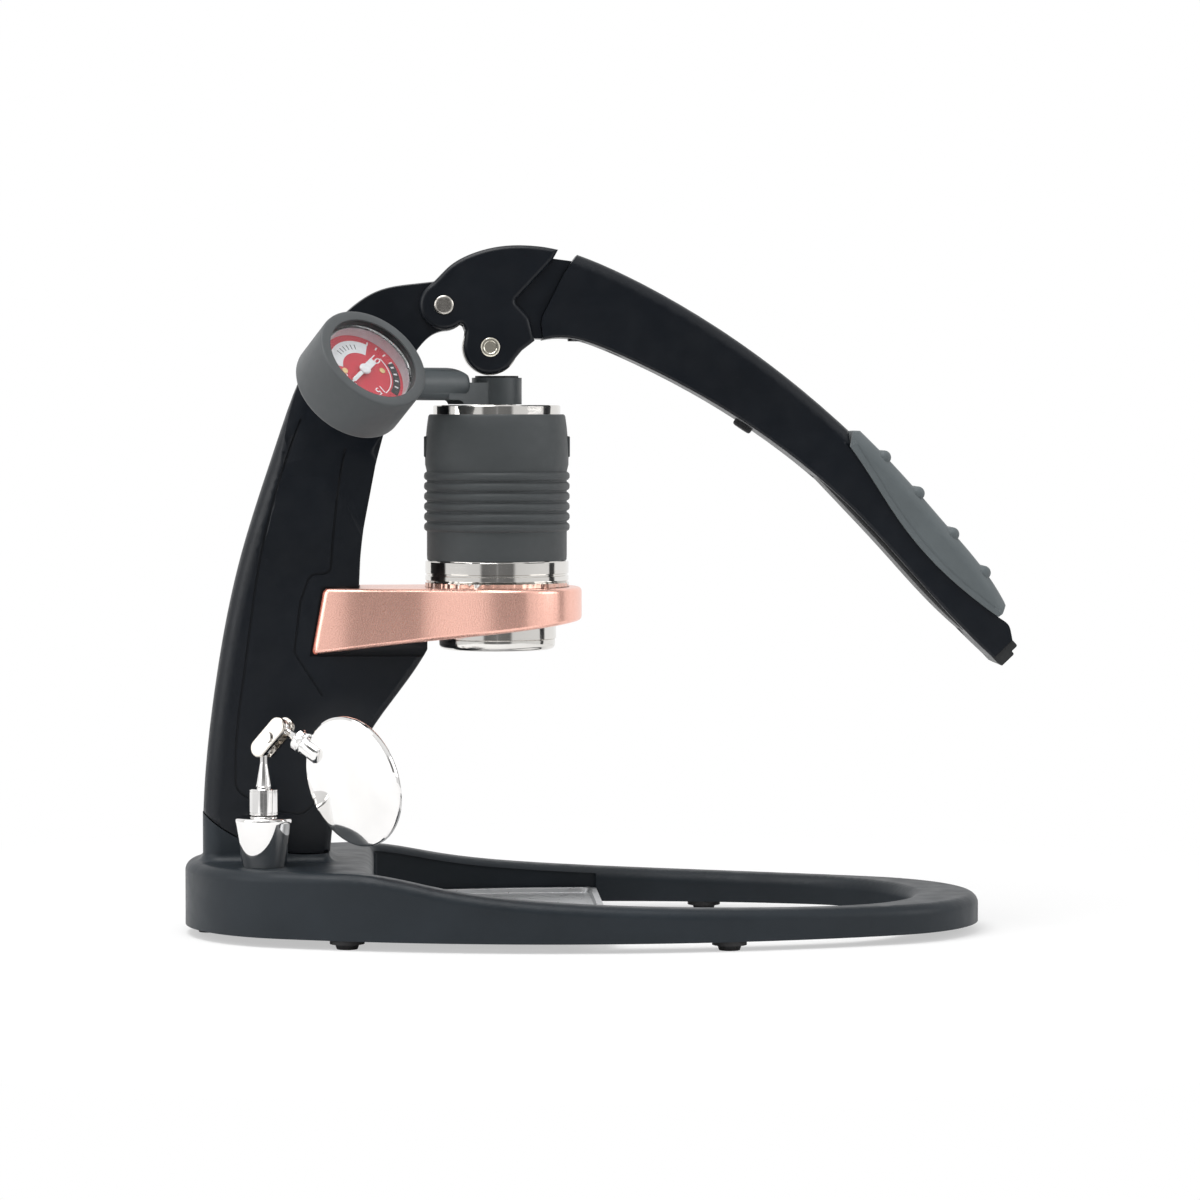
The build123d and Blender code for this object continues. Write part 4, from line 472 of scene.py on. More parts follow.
def flat_enamel(name, base, roughness=0.38):
    """Printed enamel with a faint unevenness."""
    made = Finish(name, base, roughness)
    made.tint(made.noise(700.0, 2.0), 0.95, 1.04)
    made.bump(made.noise(2600.0, 2.0), 0.08, 0.00003)
    return made.material


def clear_glass(name):
    """Clear lens with a trace of waviness."""
    made = Finish(name, (0.97, 0.99, 1.0), 0.02, Transmission_Weight=1.0, IOR=1.36)
    made.bump(made.noise(90.0, 2.0), 0.03, 0.0002)
    return made.material


FINISHES = {}


def finish(name):
    """A finish by name, made when it is first asked for."""
    if name in FINISHES:
        return FINISHES[name]
    colours = bpy.context.scene.machine_colours
    recipes = {
        "base_coat": (cast_coat, "BaseCoat", colours.base, 0.44, 0.26),
        "post_coat": (cast_coat, "PostCoat", colours.post, 0.38, 0.3),
        "stem_coat": (cast_coat, "StemCoat", (0.062, 0.072, 0.077), 0.42),
        "sleeve": (soft_moulding, "SleeveMoulding", colours.sleeve, 0.62),
        "grip": (soft_moulding, "GripMoulding", colours.grip, 0.6),
        "cover": (soft_moulding, "CoverMoulding", colours.cover, 0.58),
        "black_moulding": (soft_moulding, "BlackMoulding", (0.012, 0.013, 0.014), 0.5),
        "black_rubber": (soft_moulding, "BlackRubber", (0.011, 0.011, 0.012), 0.7),
        "copper": (metallic_coat, "CopperCoat", colours.copper),
        "steel": (turned_metal, "PolishedSteel", colours.steel, 0.09, 0.008),
        "brushed": (turned_metal, "BrushedSteel", (0.62, 0.62, 0.61), 0.28, 0.2),
        "tray_steel": (turned_metal, "TraySteel", (0.5, 0.51, 0.52), 0.42, 0.01, TRAY_GRAIN),
        "chrome": (turned_metal, "ChromePlate", colours.chrome, 0.045, 0.02),
        "dark_steel": (turned_metal, "DarkSteel", (0.2, 0.2, 0.21), 0.3, 0.15),
        "bolt_steel": (turned_metal, "BoltSteel", (0.5, 0.475, 0.44), 0.22, 0.04, FINE_GRAIN),
        "bronze": (turned_metal, "BushBronze", (0.55, 0.35, 0.16), 0.35, 0.1),
        "nickel": (turned_metal, "LinkNickel", (0.52, 0.49, 0.45), 0.14, 0.03, FINE_GRAIN),
        "warm_steel": (turned_metal, "SocketSteel", (0.86, 0.82, 0.7), 0.2, 0.03, FINE_GRAIN),
        "brass": (turned_metal, "Brass", (0.83, 0.62, 0.3), 0.22, 0.05),
        "glass": (clear_glass, "LensGlass"),
        "mirror": (turned_metal, "MirrorSilver", (0.92, 0.92, 0.92), 0.02, 0.0),
        "dial_red": (flat_enamel, "DialRed", colours.dial),
        "dial_white": (flat_enamel, "DialWhite", (0.86, 0.86, 0.87)),
        "dial_black": (flat_enamel, "DialBlack", (0.01, 0.01, 0.012)),
        "inner_wall": (flat_enamel, "InnerWall", (0.6, 0.56, 0.58), 0.32),
    }
    make, *values = recipes[name]
    FINISHES[name] = make(*values)
    return FINISHES[name]


# Pieces


class EspressoOperator(bpy.types.Operator):
    """Shared settings of the machine's operators."""

    bl_options = {"REGISTER", "UNDO"}

    @classmethod
    def poll(cls, context):
        return context.mode == "OBJECT"


class ESPRESSO_OT_base(EspressoOperator):
    """Cast base ring with its collar"""

    bl_idname = "espresso.base"
    bl_label = "Base Ring"

    def execute(self, context):
        edge = context.scene.machine_sizes.casting_edge
        fit_copied("base_body", "base", "base_coat", "base_coat", "base_ring", edge)
        return {"FINISHED"}


def front_height(x):
    """Height of the post's front edge at a place along the machine, in millimetres."""
    foot_x, foot_z = POST_FRONT
    spread, bend = 0.00993, 0.591
    return foot_z + ((x - foot_x) / spread) ** bend


def ease_front(post):
    """Lays the post's front edge on one even curve."""
    foot_x, foot_z = POST_FRONT
    curve_end, blend = -78.0, 6.0
    face_top, corner_top = 215.0, 172.0
    facing = set()
    for face in post.data.polygons:
        if face.normal.x > 0.6:
            facing.update(face.vertices)
    for vertex in post.data.vertices:
        x, _, z = vertex.co / MM
        top = face_top if vertex.index in facing else corner_top
        if foot_x + 0.01 < x < curve_end and foot_z + 0.1 < z < top:
            share = min((curve_end - x) / blend, 1)
            vertex.co.z = (z + share * (front_height(x) - z)) * MM


class ESPRESSO_OT_post(EspressoOperator):
    """Curved post"""

    bl_idname = "espresso.post"
    bl_label = "Post"

    def execute(self, context):
        post = copied("post_body", "post_frame")
        ease_front(post)
        even_shading(post)
        fit(post, "base", "post_coat", "post_coat", "post_frame")
        return {"FINISHED"}


class ESPRESSO_OT_lever(EspressoOperator):
    """Lever head, arm, underside cover, peg and end cap"""

    bl_idname = "espresso.lever"
    bl_label = "Lever"

    def execute(self, context):
        edge = context.scene.machine_sizes.casting_edge
        for name, slot, coat, node, width in (
            ("head_body", "post_coat", "post_coat", "lever_head", 0.0),
            ("arm_body", "post_coat", "post_coat", "lever_arm", 0.0),
            ("underside_body", "black_moulding", "black_moulding", "lever_underside_cover", edge),
            ("bumper_body", "grip_moulding", "black_rubber", "lever_bumper", 0.0),
            ("end_cap_body", "black_moulding", "black_moulding", "lever_end_cap", edge),
        ):
            fit_copied(name, "lever", slot, coat, node, width)
        return {"FINISHED"}


class ESPRESSO_OT_bolts(EspressoOperator):
    """Two bolts of the lever head: a domed one in the pivot and a socket one in the lobe"""

    bl_idname = "espresso.bolts"
    bl_label = "Bolts"

    def execute(self, context):
        for node, coat, socket in (("pivot_bolt", "bolt_steel", 0), ("lobe_bolt", "warm_steel", 2.3)):
            corners = [Vector(corner) / MM for corner in NODES[node].bound_box]
            centre = sum(corners, Vector()) / 8
            reach = corners[0].y
            low = 2 * reach
            shank = [(POLE, low), (3.3, low), (3.75, low + 0.45), (3.75, low + 1.5), (3.0, low + 1.6)]
            head = [(3.0, -1.6), (3.75, -1.5), (3.75, -0.5), (3.6, -0.2), (3.2, 0)]
            if socket:
                head += [(socket + 0.2, 0), (socket, -0.15), (socket, -1.3), (POLE, -1.3)]
            else:
                head += [(2.6, 0.12), (1.8, 0.2), (0.9, 0.24), (POLE, 0.25)]
            bolt = turned(node + "_body", shank + head, steps=64, closed=False)
            if socket:
                hexagon = [(1.95, -1.25), (1.95, -0.3), (2.75, -0.3), (2.75, -1.25)]
                join(bolt, turned("liner", hexagon, steps=6))
            stand_at(bolt, basis((centre.x, reach, centre.z), (1, 0, 0), (0, 0, 1), (0, -1, 0)))
            smooth(bolt, radians(28 if socket else 50))
            fit(bolt, "lever", "dark_steel", coat, node)
        return {"FINISHED"}


class ESPRESSO_OT_grip(EspressoOperator):
    """Soft grip on the arm's end"""

    bl_idname = "espresso.grip"
    bl_label = "Grip"

    def execute(self, context):
        fit_copied("grip_body", "lever", "grip_moulding", "grip", "lever_grip")
        return {"FINISHED"}


def from_fork_tip(x, z):
    """Distance from the fork's leaning tip, in millimetres."""
    tip_x, tip_z = FORK_TIP
    return x - tip_x - (z - tip_z) * FORK_TIP_LEAN


def fork_half_width(x, z):
    """Half width of the fork: a rounded tip, a slim prong and a sweep into the ring."""
    ring_x, ring_reach, ring_half_width = -34.0, 26.9, 32.74
    if x > ring_x:
        return ring_half_width * sqrt(max(1 - ((x - ring_x) / ring_reach) ** 2, 0))
    prong_x, sweep_x, prong_half_width, sweep_rise, prong_slope = -95.0, -76.0, 21.1, 10.5, 0.06
    taper, taper_drop, taper_bend = 15, 3.9, 1.3
    nose, nose_drop, least = 2, 1.6, 15.8
    sweep = min(max((x - sweep_x) / (ring_x - sweep_x), 0), 1)
    width = prong_half_width + sweep_rise * sweep * sweep * (3 - 2 * sweep)
    width += prong_slope * max(min(x, sweep_x) - prong_x, 0)
    from_tip = max(from_fork_tip(x, z), 0)
    if from_tip < taper:
        width -= taper_drop * (1 - from_tip / taper) ** taper_bend
    if from_tip < nose:
        width -= nose_drop - nose_drop * sqrt(1 - (1 - from_tip / nose) ** 2)
    return max(width, least)


def on_fork_wall(x, y):
    """Whether a place in plan lies on the fork's outer wall."""
    inside_prong, inside_ring, ring_side_x, inside_end = 17, 28.6, -20, 30
    away = hypot(x - BREW_X, y)
    beside = abs(y) > inside_prong and away > inside_ring
    return beside or (x > ring_side_x and away > inside_end)


def fork_inset(x, z, radius):
    """How far the fork's wall draws in where it rounds over to the top and the sloping underside."""
    tip_x, tip_z = FORK_TIP
    depth = min(FORK_TOP - z, z - tip_z - FORK_SLOPE * (x - tip_x))
    short = min(max(radius - depth, 0), radius)
    return radius - sqrt(radius * radius - short * short)


def fork_cuts(radius):
    """Planes, as place and facing, that part the fork finely enough for its curves."""
    tip_x, tip_z = FORK_TIP
    cuts = [((2 * step - 109, 0, 0), (1, 0, 0)) for step in range(50)]
    cuts += [((0, 3 * step, 0), (0, 1, 0)) for step in range(-10, 11)]
    for share in (0.03, 0.13, 0.3, 0.55, 1.0):
        cuts.append(((0, 0, FORK_TOP - share * radius), (0, 0, 1)))
        cuts.append(((tip_x, 0, tip_z + share * radius), (-FORK_SLOPE, 0, 1)))
    return cuts


class ESPRESSO_OT_fork(EspressoOperator):
    """Copper fork that holds the basket"""

    bl_idname = "espresso.fork"
    bl_label = "Copper Fork"

    def execute(self, context):
        fork = copied("fork_body", "portafilter_holder")
        radius = context.scene.machine_sizes.fork_edge / MM
        tip_depth = 0.6
        for place, facing in fork_cuts(radius):
            edit_all(fork)
            bpy.ops.mesh.bisect(plane_co=[value * MM for value in place], plane_no=facing)
            done_editing()
        for vertex in fork.data.vertices:
            x, y, z = vertex.co / MM
            inset = fork_inset(x, z, radius)
            at_tip = from_fork_tip(x, z) < tip_depth
            if on_fork_wall(x, y):
                side = 1 if y > 0 else -1
                y = side * fork_half_width(x, z)
                away = hypot(x - BREW_X, y)
                if x > BREW_X:
                    x -= inset * (x - BREW_X) / away
                    y -= inset * y / away
                else:
                    y -= inset * side
            if at_tip:
                x += inset
            vertex.co = (x * MM, y * MM, z * MM)
        even_shading(fork)
        fit(fork, "brew_head", "copper_coat", "copper", "portafilter_holder")
        return {"FINISHED"}


class ESPRESSO_OT_cylinder(EspressoOperator):
    """Steel brew cylinder with its lower rings and upper flange"""

    bl_idname = "espresso.cylinder"
    bl_label = "Brew Cylinder"

    def execute(self, context):
        fit_turned(
            "cylinder_body",
            [
                (23.0, 135.1),
                (27.3, 135.1),
                (27.6, 135.4),
                (27.6, 137.0),
                (27.25, 137.3),
                (27.25, 137.8),
                (27.6, 138.1),
                (27.6, 142.4),
                (27.3, 142.7),
                (25.2, 142.7),
                (25.2, 198.6),
                (24.5, 198.6),
                (24.5, 202.0),
                (24.1, 202.4),
                (23.0, 202.4),
            ],
            brew_place(),
            "brew_head",
            "polished_steel",
            "steel",
            "cylinder",
        )
        return {"FINISHED"}


class ESPRESSO_OT_sleeve(EspressoOperator):
    """Moulded sleeve with ribs and a tab on each side"""

    bl_idname = "espresso.sleeve"
    bl_label = "Cylinder Sleeve"

    def execute(self, context):
        rib = context.scene.machine_sizes.sleeve_rib / MM
        foot = 26.9
        profile = [(25.25, 142.9), (26.5, 142.9), (26.8, 143.2), (foot, 145.0), (foot, 153.6)]
        for index in range(6):
            low = 154.1 + 3.9 * index
            profile += [(foot, low), (foot + 0.35 * rib, low + 0.15), (foot + 0.8 * rib, low + 0.6)]
            profile += [(foot + rib, low + 1.2), (foot + rib, low + 2.1), (foot + 0.8 * rib, low + 2.7)]
            profile += [(foot + 0.35 * rib, low + 3.15), (foot, low + 3.3)]
        profile += [(27.2, 178.2), (27.55, 179.6), (27.6, 184.0), (27.35, 189.0), (26.9, 194.0)]
        profile += [(26.35, 198.0), (26.05, 198.65), (25.6, 198.9), (25.25, 198.9)]
        sleeve = turned("sleeve_body", profile)
        stand_at(sleeve, brew_place())
        tabs = []
        for side in (-1, 1):
            tab = block("tab", (BREW_X + side * 27.3, 0, 186.5), (1.4, 7.0, 8.0))
            round_edges(tab, 0.45 * MM, 3)
            tabs.append(tab)
        join(sleeve, *tabs)
        smooth(sleeve)
        fit(sleeve, "brew_head", "sleeve_moulding", "sleeve", "cylinder_sleeve")
        return {"FINISHED"}


class ESPRESSO_OT_basket(EspressoOperator):
    """Steel basket and the base under it"""

    bl_idname = "espresso.basket"
    bl_label = "Basket"

    def execute(self, context):
        cup = copied("basket_body", "basket")
        smooth(cup, TURNED_ANGLE)
        fit(cup, "brew_head", "polished_steel", "steel", "basket")
        fit_turned(
            "basket_base_body",
            [
                (3.0, 108.7),
                (20.2, 108.7),
                (20.9, 108.8),
                (21.6, 109.15),
                (22.1, 109.7),
                (22.4, 110.5),
                (22.4, 112.6),
                (22.1, 112.95),
                (20.4, 112.95),
                (3.0, 110.1),
            ],
            brew_place(),
            "brew_head",
            "polished_steel",
            "steel",
            "basket_base",
        )
        return {"FINISHED"}


class ESPRESSO_OT_plunger(EspressoOperator):
    """Castellated pad on the plunger's rod and the elbow casting under the gauge"""

    bl_idname = "espresso.plunger"
    bl_label = "Plunger"

    def execute(self, context):
        pad = copied("pad_body", "pressure_pad")
        smooth(pad, TURNED_ANGLE)
        fit(pad, "plunger", "black_moulding", "black_moulding", "pressure_pad")
        fit_copied("stem_body", "gauge_head", "stem_coat", "stem_coat", "gauge_stem")
        return {"FINISHED"}


def ring_sector(name, inner, outer, start, end, level, thickness=0.12):
    """Thin ring sector round the dial's axis, spun from a straight radial line."""
    clear_selection()
    bpy.ops.mesh.primitive_plane_add(size=1, location=(0, 0, 0))
    piece = bpy.context.object
    piece.name = name
    piece.rotation_euler = (pi / 2, 0, 0)
    piece.scale = ((outer - inner) * MM, thickness * MM, 1)
    piece.location = ((inner + outer) / 2 * MM, 0, (level + thickness / 2) * MM)
    settle(piece)
    edit_all(piece)
    degrees_a_step = 3
    steps = max(2, int(abs(end - start) / degrees_a_step))
    bpy.ops.mesh.spin(
        steps=steps, angle=radians(start - end), center=(0, 0, 0), axis=(0, 0, 1), use_auto_merge=False
    )
    done_editing()
    close_seams(piece)
    piece.rotation_euler = (0, 0, radians(start))
    settle(piece)
    return piece


def dial_number(text, angle, radius, size, level):
    """Plain number on the dial, upright along the radius."""
    clear_selection()
    bpy.ops.object.text_add(location=(0, 0, 0))
    sign = bpy.context.object
    sign.data.body = text
    sign.data.align_x = "CENTER"
    sign.data.align_y = "CENTER"
    sign.data.size = size * MM
    sign.data.extrude = 0.03 * MM
    bpy.ops.object.convert(target="MESH")
    sign = bpy.context.object
    turn = radians(angle)
    sign.location = (radius * cos(turn) * MM, radius * sin(turn) * MM, level * MM)
    sign.rotation_euler = (0, 0, turn - pi / 2)
    settle(sign)
    return sign


class ESPRESSO_OT_gauge(EspressoOperator):
    """Gauge cover, stepped bezel, inner wall of the case and lens"""

    bl_idname = "espresso.gauge"
    bl_label = "Gauge"

    def execute(self, context):
        axes = gauge_axes()
        fit_turned(
            "gauge_cover_body",
            [
                (POLE, -9.5),
                (19.7, -9.5),
                (20.7, -9.3),
                (21.5, -8.7),
                (22.0, -7.9),
                (22.2, -7.0),
                (22.2, 11.6),
                (22.1, 12.1),
                (21.8, 12.4),
                (21.3, 12.5),
                (18.5, 12.5),
                (18.15, 12.4),
                (18.0, 12.1),
                (18.0, 11.8),
                (19.0, 11.8),
                (19.0, 10.7),
                (19.65, 10.7),
                (19.65, -8.55),
                (POLE, -8.55),
            ],
            axes,
            "gauge_head",
            "gauge_moulding",
            "cover",
            "gauge_cover",
            closed=False,
            angle=WIDE_ANGLE,
        )
        fit_turned(
            "gauge_bezel_body",
            [
                (17.5, 9.55),
                (18.95, 9.55),
                (18.95, 11.7),
                (18.3, 11.7),
                (18.2, 11.2),
                (18.0, 11.1),
                (17.95, 10.6),
                (17.75, 10.5),
                (17.7, 9.9),
                (17.5, 9.8),
            ],
            axes,
            "gauge_head",
            "black_moulding",
            "black_moulding",
            "gauge_bezel",
            angle=STEP_ANGLE,
        )
        fit_turned(
            "gauge_inner_wall",
            [(17.18, 3.65), (16.9, 3.65), (16.95, 5.2), (17.0, 7.9), (17.18, 7.9)],
            axes,
            "gauge_head",
            "brushed_stainless",
            "inner_wall",
            angle=STEP_ANGLE,
        )
        fit_turned(
            "gauge_lens_body",
            [(POLE, 8.05), (18.1, 8.05), (18.15, 8.1), (18.15, 9.4), (18.1, 9.45), (POLE, 9.5)],
            axes,
            "gauge_head",
            "lens_glass",
            "glass",
            "gauge_lens",
            closed=False,
            angle=SMOOTH_ANGLE,
        )
        return {"FINISHED"}


class ESPRESSO_OT_dial(EspressoOperator):
    """Zones, marks and numbers printed on the dial"""

    bl_idname = "espresso.dial"
    bl_label = "Dial"

    def execute(self, context):
        axes = gauge_axes()
        face = 3.6
        white = [ring_sector("zone", 8.6, 14.2, 60, 166, face)]
        white.append(ring_sector("line", 11.6, 12.0, -60, 30, face))
        for angle in range(-75, 250, 15):
            if 12 < angle < 66 or angle > 180 or angle < -45:
                white.append(ring_sector("tick", 14.0, 15.6, angle - 1.1, angle + 1.1, face))
        for text, angle in (("0", 224), ("3", 190), ("10", 36), ("15", -66)):
            white.append(dial_number(text, angle, 9.6, 4.6, face + 0.05))
        for step in range(4):
            start = 5 - 13 * step
            white.append(ring_sector("mark", 13.4, 14.9, start, start + 3, face + 0.14, 0.05))
        marks = white[0]
        join(*white)
        marks.name = "dial_marks"
        stand_at(marks, axes)
        fit(marks, "gauge_head", "dial_enamel", "dial_white")
        black = [ring_sector("band", 12.7, 15.7, -48, 14, face)]
        for step in range(6):
            start = 84 + 9 * step
            black.append(ring_sector("stroke", 10.2, 12.4, start, start + 1.6, face + 0.12, 0.05))
        zones = black[0]
        join(*black)
        zones.name = "dial_zone"
        stand_at(zones, axes)
        fit(zones, "gauge_head", "dial_enamel", "dial_black")
        return {"FINISHED"}


class ESPRESSO_OT_needle(EspressoOperator):
    """Pale needle with its hub"""

    bl_idname = "espresso.needle"
    bl_label = "Needle"

    def execute(self, context):
        needle = copied("needle_body", "gauge_needle")
        tail = block("tail", (3.6, 0, 4.6), (7.2, 3.0, 0.7))
        blade = block("blade", (-4.2, 0, 4.6), (8.4, 1.7, 0.7))
        join(tail, blade)
        tail.rotation_euler = (0, 0, radians(35))
        settle(tail)
        round_edges(tail, 0.2 * MM, 2)
        stand_at(tail, gauge_axes())
        knob = [(POLE, 4.9), (2.3, 4.9), (2.3, 5.4), (1.8, 5.9), (0.9, 6.1), (POLE, 6.15)]
        hub = turned("hub", knob, closed=False)
        stand_at(hub, gauge_axes())
        join(needle, tail, hub)
        smooth(needle, TURNED_ANGLE)
        fit(needle, "needle", "needle_enamel", "dial_white", "gauge_needle")
        return {"FINISHED"}


class ESPRESSO_OT_stand(EspressoOperator):
    """Chromed foot, nut and stem of the mirror's stand"""

    bl_idname = "espresso.stand"
    bl_label = "Mirror Stand"

    def execute(self, context):
        place = Matrix.Translation((STAND_PLACE[0] * MM, STAND_PLACE[1] * MM, 0))
        low = LEDGE_TOP
        top = low + 18.9
        fit_turned(
            "stand_foot_body",
            [
                (POLE, low + 0.01),
                (7.9, low + 0.01),
                (8.2, low + 0.35),
                (10.75, top - 2.4),
                (11.0, top - 1.3),
                (10.85, top - 0.6),
                (10.4, top - 0.15),
                (9.6, top),
                (4.2, top + 0.6),
                (POLE, top + 0.6),
            ],
            place,
            "stand",
            "chrome_plate",
            "chrome",
            "stand_foot",
            closed=False,
            angle=WIDE_ANGLE,
        )
        low = top + 0.65
        top = low + 10
        profile = [(POLE, low), (5.3, low), (5.6, low + 0.3), (5.6, low + 0.8), (5.45, low + 0.9)]
        profile += [(5.45, low + 1.1), (5.6, low + 1.2), (5.6, top - 1.2), (5.45, top - 1.1)]
        profile += [(5.45, top - 0.9), (5.6, top - 0.8), (5.6, top - 0.3), (5.3, top), (2.75, top)]
        profile += [(2.75, top + 0.6), (3.2, top + 0.9), (2.9, top + 1.6), (1.4, 68.0), (1.4, 70.5)]
        for step in range(1, 12):
            angle = radians(-62 + 152 * step / 11)
            radius = max(BALL_RADIUS * cos(angle), POLE)
            profile.append((radius, BALL_HEIGHT + BALL_RADIUS * sin(angle)))
        fit_turned(
            "stand_stem_body", profile, place, "stand", "chrome_plate", "chrome", "stand_stem",
            closed=False, steps=64,
        )
        return {"FINISHED"}


class ESPRESSO_OT_mirror(EspressoOperator):
    """Link, stud and disc of the inspection mirror"""

    bl_idname = "espresso.mirror"
    bl_label = "Mirror"

    def execute(self, context):
        fit_copied("link_body", "link", "chrome_plate", "nickel", "mirror_link", 0.35 * MM, 3)
        for name, node, slot, coat in (
            ("stud_body", "mirror_stud", "chrome_plate", "chrome"),
            ("glass_body", "mirror_glass", "mirror_silver", "mirror"),
        ):
            piece = copied(name, node)
            stand_at(piece, mirror_turn())
            smooth(piece, TURNED_ANGLE)
            fit(piece, "mirror", slot, coat, node)
        fit_turned(
            "mirror_disc_body",
            [
                (POLE, 1.2),
                (23.6, 1.2),
                (24.4, 1.1),
                (24.85, 0.75),
                (25.0, 0.2),
                (25.0, -0.6),
                (24.8, -1.0),
                (24.4, -1.2),
                (23.8, -1.2),
                (23.8, -0.4),
                (POLE, -0.4),
            ],
            mirror_axes(DISC_REACH, SEEN_MIRROR),
            "mirror",
            "chrome_plate",
            "chrome",
            "mirror_disc",
            closed=False,
        )
        return {"FINISHED"}


class ESPRESSO_OT_tray(EspressoOperator):
    """Shallow steel drip tray"""

    bl_idname = "espresso.tray"
    bl_label = "Drip Tray"

    def execute(self, context):
        fit_copied("tray_body", "tray", "brushed_stainless", "tray_steel", "drip_tray", 0.3 * MM)
        return {"FINISHED"}


KEPT_SOLIDS = {
    "rubber_feet": "black_rubber",
    "base_screws": "dark_steel",
    "pivot_bush": "bronze",
    "arm_screws": "dark_steel",
    "end_cap_screw": "dark_steel",
    "pressure_roller": "bolt_steel",
    "dispersion_screen": "brushed",
    "piston": "brushed",
    "piston_seal": "black_rubber",
    "plunger_rod": "brushed",
    "gauge_case": "brushed",
    "gauge_dial": "dial_red",
    "gauge_screws": "brass",
    "gauge_movement": "brass",
    "gauge_arbor": "brass",
    "stand_magnet": "dark_steel",
    "link_screw": "chrome",
}


class ESPRESSO_OT_solids(EspressoOperator):
    """Finishes of the solids that are kept as they are"""

    bl_idname = "espresso.solids"
    bl_label = "Kept Solids"

    def execute(self, context):
        for node, coat in KEPT_SOLIDS.items():
            solid = NODES[node]
            paint(solid, finish(coat))
            solid.data.shade_smooth()
            weld = solid.modifiers.new("Weld", "WELD")
            weld.merge_threshold = MERGE
            split = solid.modifiers.new("Split", "EDGE_SPLIT")
            split.split_angle = SHARP_ANGLE
        return {"FINISHED"}


# Studio


PANELS = (
    (0.0, 1.0),
    (0.2, 1.0),
    (0.24, 0.85),
    (0.418, 0.82),
    (0.43, 0.17),
    (0.494, 0.2),
    (0.498, 0.42),
    (0.502, 0.2),
    (0.568, 0.17),
    (0.582, 0.78),
    (0.762, 0.88),
    (0.766, 0.08),
    (0.788, 0.08),
    (0.792, 1.0),
    (1.0, 1.0),
)


def seen_straight(tree):
    """Value that is one for what the camera sees, also through glass."""
    path = add_node(tree, "ShaderNodeLightPath")
    seen = add_node(tree, "ShaderNodeMath", "MAXIMUM")
    tree.links.new(path.outputs["Is Camera Ray"], seen.inputs[0])
    tree.links.new(path.outputs["Is Transmission Ray"], seen.inputs[1])
    return seen.outputs["Value"]


def mixed(tree, share, first, second):
    """Mix of two shaders by a share."""
    mix = add_node(tree, "ShaderNodeMixShader")
    tree.links.new(share, mix.inputs["Fac"])
    tree.links.new(first, mix.inputs[1])
    tree.links.new(second, mix.inputs[2])
    return mix.outputs["Shader"]


def floor_finish():
    """Pale floor that fades to white away from the machine and keeps its shadow."""
    material = bpy.data.materials.new("PaleFloor")
    material.use_nodes = True
    tree = material.node_tree
    links = tree.links
    shader = tree.nodes["Principled BSDF"]
    shader.inputs["Base Color"].default_value = (0.9, 0.9, 0.9, 1)
    shader.inputs["Roughness"].default_value = 0.8
    shader.inputs["Specular IOR Level"].default_value = 0.0
    white = add_node(tree, "ShaderNodeEmission", Strength=1.0)
    places = add_node(tree, "ShaderNodeTexCoord")
    away = add_node(tree, "ShaderNodeVectorMath", "LENGTH")
    fade = add_node(tree, "ShaderNodeMapRange", From_Min=0.16, From_Max=0.42, To_Min=0.5)
    share = add_node(tree, "ShaderNodeMath", "MULTIPLY")
    links.new(places.outputs["Object"], away.inputs[0])
    links.new(away.outputs["Value"], fade.inputs["Value"])
    links.new(fade.outputs["Result"], share.inputs[0])
    links.new(seen_straight(tree), share.inputs[1])
    floor = mixed(tree, share.outputs["Value"], shader.outputs["BSDF"], white.outputs["Emission"])
    links.new(floor, tree.nodes["Material Output"].inputs["Surface"])
    return material


def panel_light(tree):
    """Ring of soft panels round the machine, even above."""
    links = tree.links
    where = add_node(tree, "ShaderNodeTexCoord")
    split = add_node(tree, "ShaderNodeSeparateXYZ")
    turn = add_node(tree, "ShaderNodeMath", "ARCTAN2")
    back = add_node(tree, "ShaderNodeMath", "MULTIPLY")
    back.inputs[1].default_value = -1.0
    share = add_node(tree, "ShaderNodeMapRange", From_Min=-pi, From_Max=pi)
    ring = add_node(tree, "ShaderNodeValToRGB")
    elements = ring.color_ramp.elements
    for position, _ in PANELS[1:-1]:
        elements.new(position)
    for element, (position, value) in zip(elements, PANELS):
        element.position = position
        element.color = (value, value, value, 1)
    rise = add_node(tree, "ShaderNodeMapRange", From_Min=0.35, From_Max=0.75)
    high = add_node(tree, "ShaderNodeMixRGB", Color2=(0.9, 0.9, 0.9, 1))
    panels = add_node(tree, "ShaderNodeBackground", Strength=1.0)
    links.new(where.outputs["Generated"], split.inputs["Vector"])
    links.new(split.outputs["X"], turn.inputs[0])
    links.new(split.outputs["Y"], back.inputs[0])
    links.new(back.outputs["Value"], turn.inputs[1])
    links.new(turn.outputs["Value"], share.inputs["Value"])
    links.new(share.outputs["Result"], ring.inputs["Fac"])
    links.new(split.outputs["Z"], rise.inputs["Value"])
    links.new(rise.outputs["Result"], high.inputs["Fac"])
    links.new(ring.outputs["Color"], high.inputs["Color1"])
    links.new(high.outputs["Color"], panels.inputs["Color"])
    return panels.outputs["Background"]


def studio_world(strength):
    """White ground for the camera, even light for surfaces, and a ring of soft panels for metal."""
    world = bpy.data.worlds.new("Studio")
    world.use_nodes = True
    tree = world.node_tree
    even = tree.nodes["Background"]
    even.inputs["Color"].default_value = (1, 1, 1, 1)
    even.inputs["Strength"].default_value = strength
    white = add_node(tree, "ShaderNodeBackground", Color=(1, 1, 1, 1), Strength=1.0)
    path = add_node(tree, "ShaderNodeLightPath")
    glossy = path.outputs["Is Glossy Ray"]
    light = mixed(tree, glossy, even.outputs["Background"], panel_light(tree))
    light = mixed(tree, seen_straight(tree), light, white.outputs["Background"])
    tree.links.new(light, tree.nodes["World Output"].inputs["Surface"])
    return world


LAMP_AIM = (-0.02, 0, 0.13)


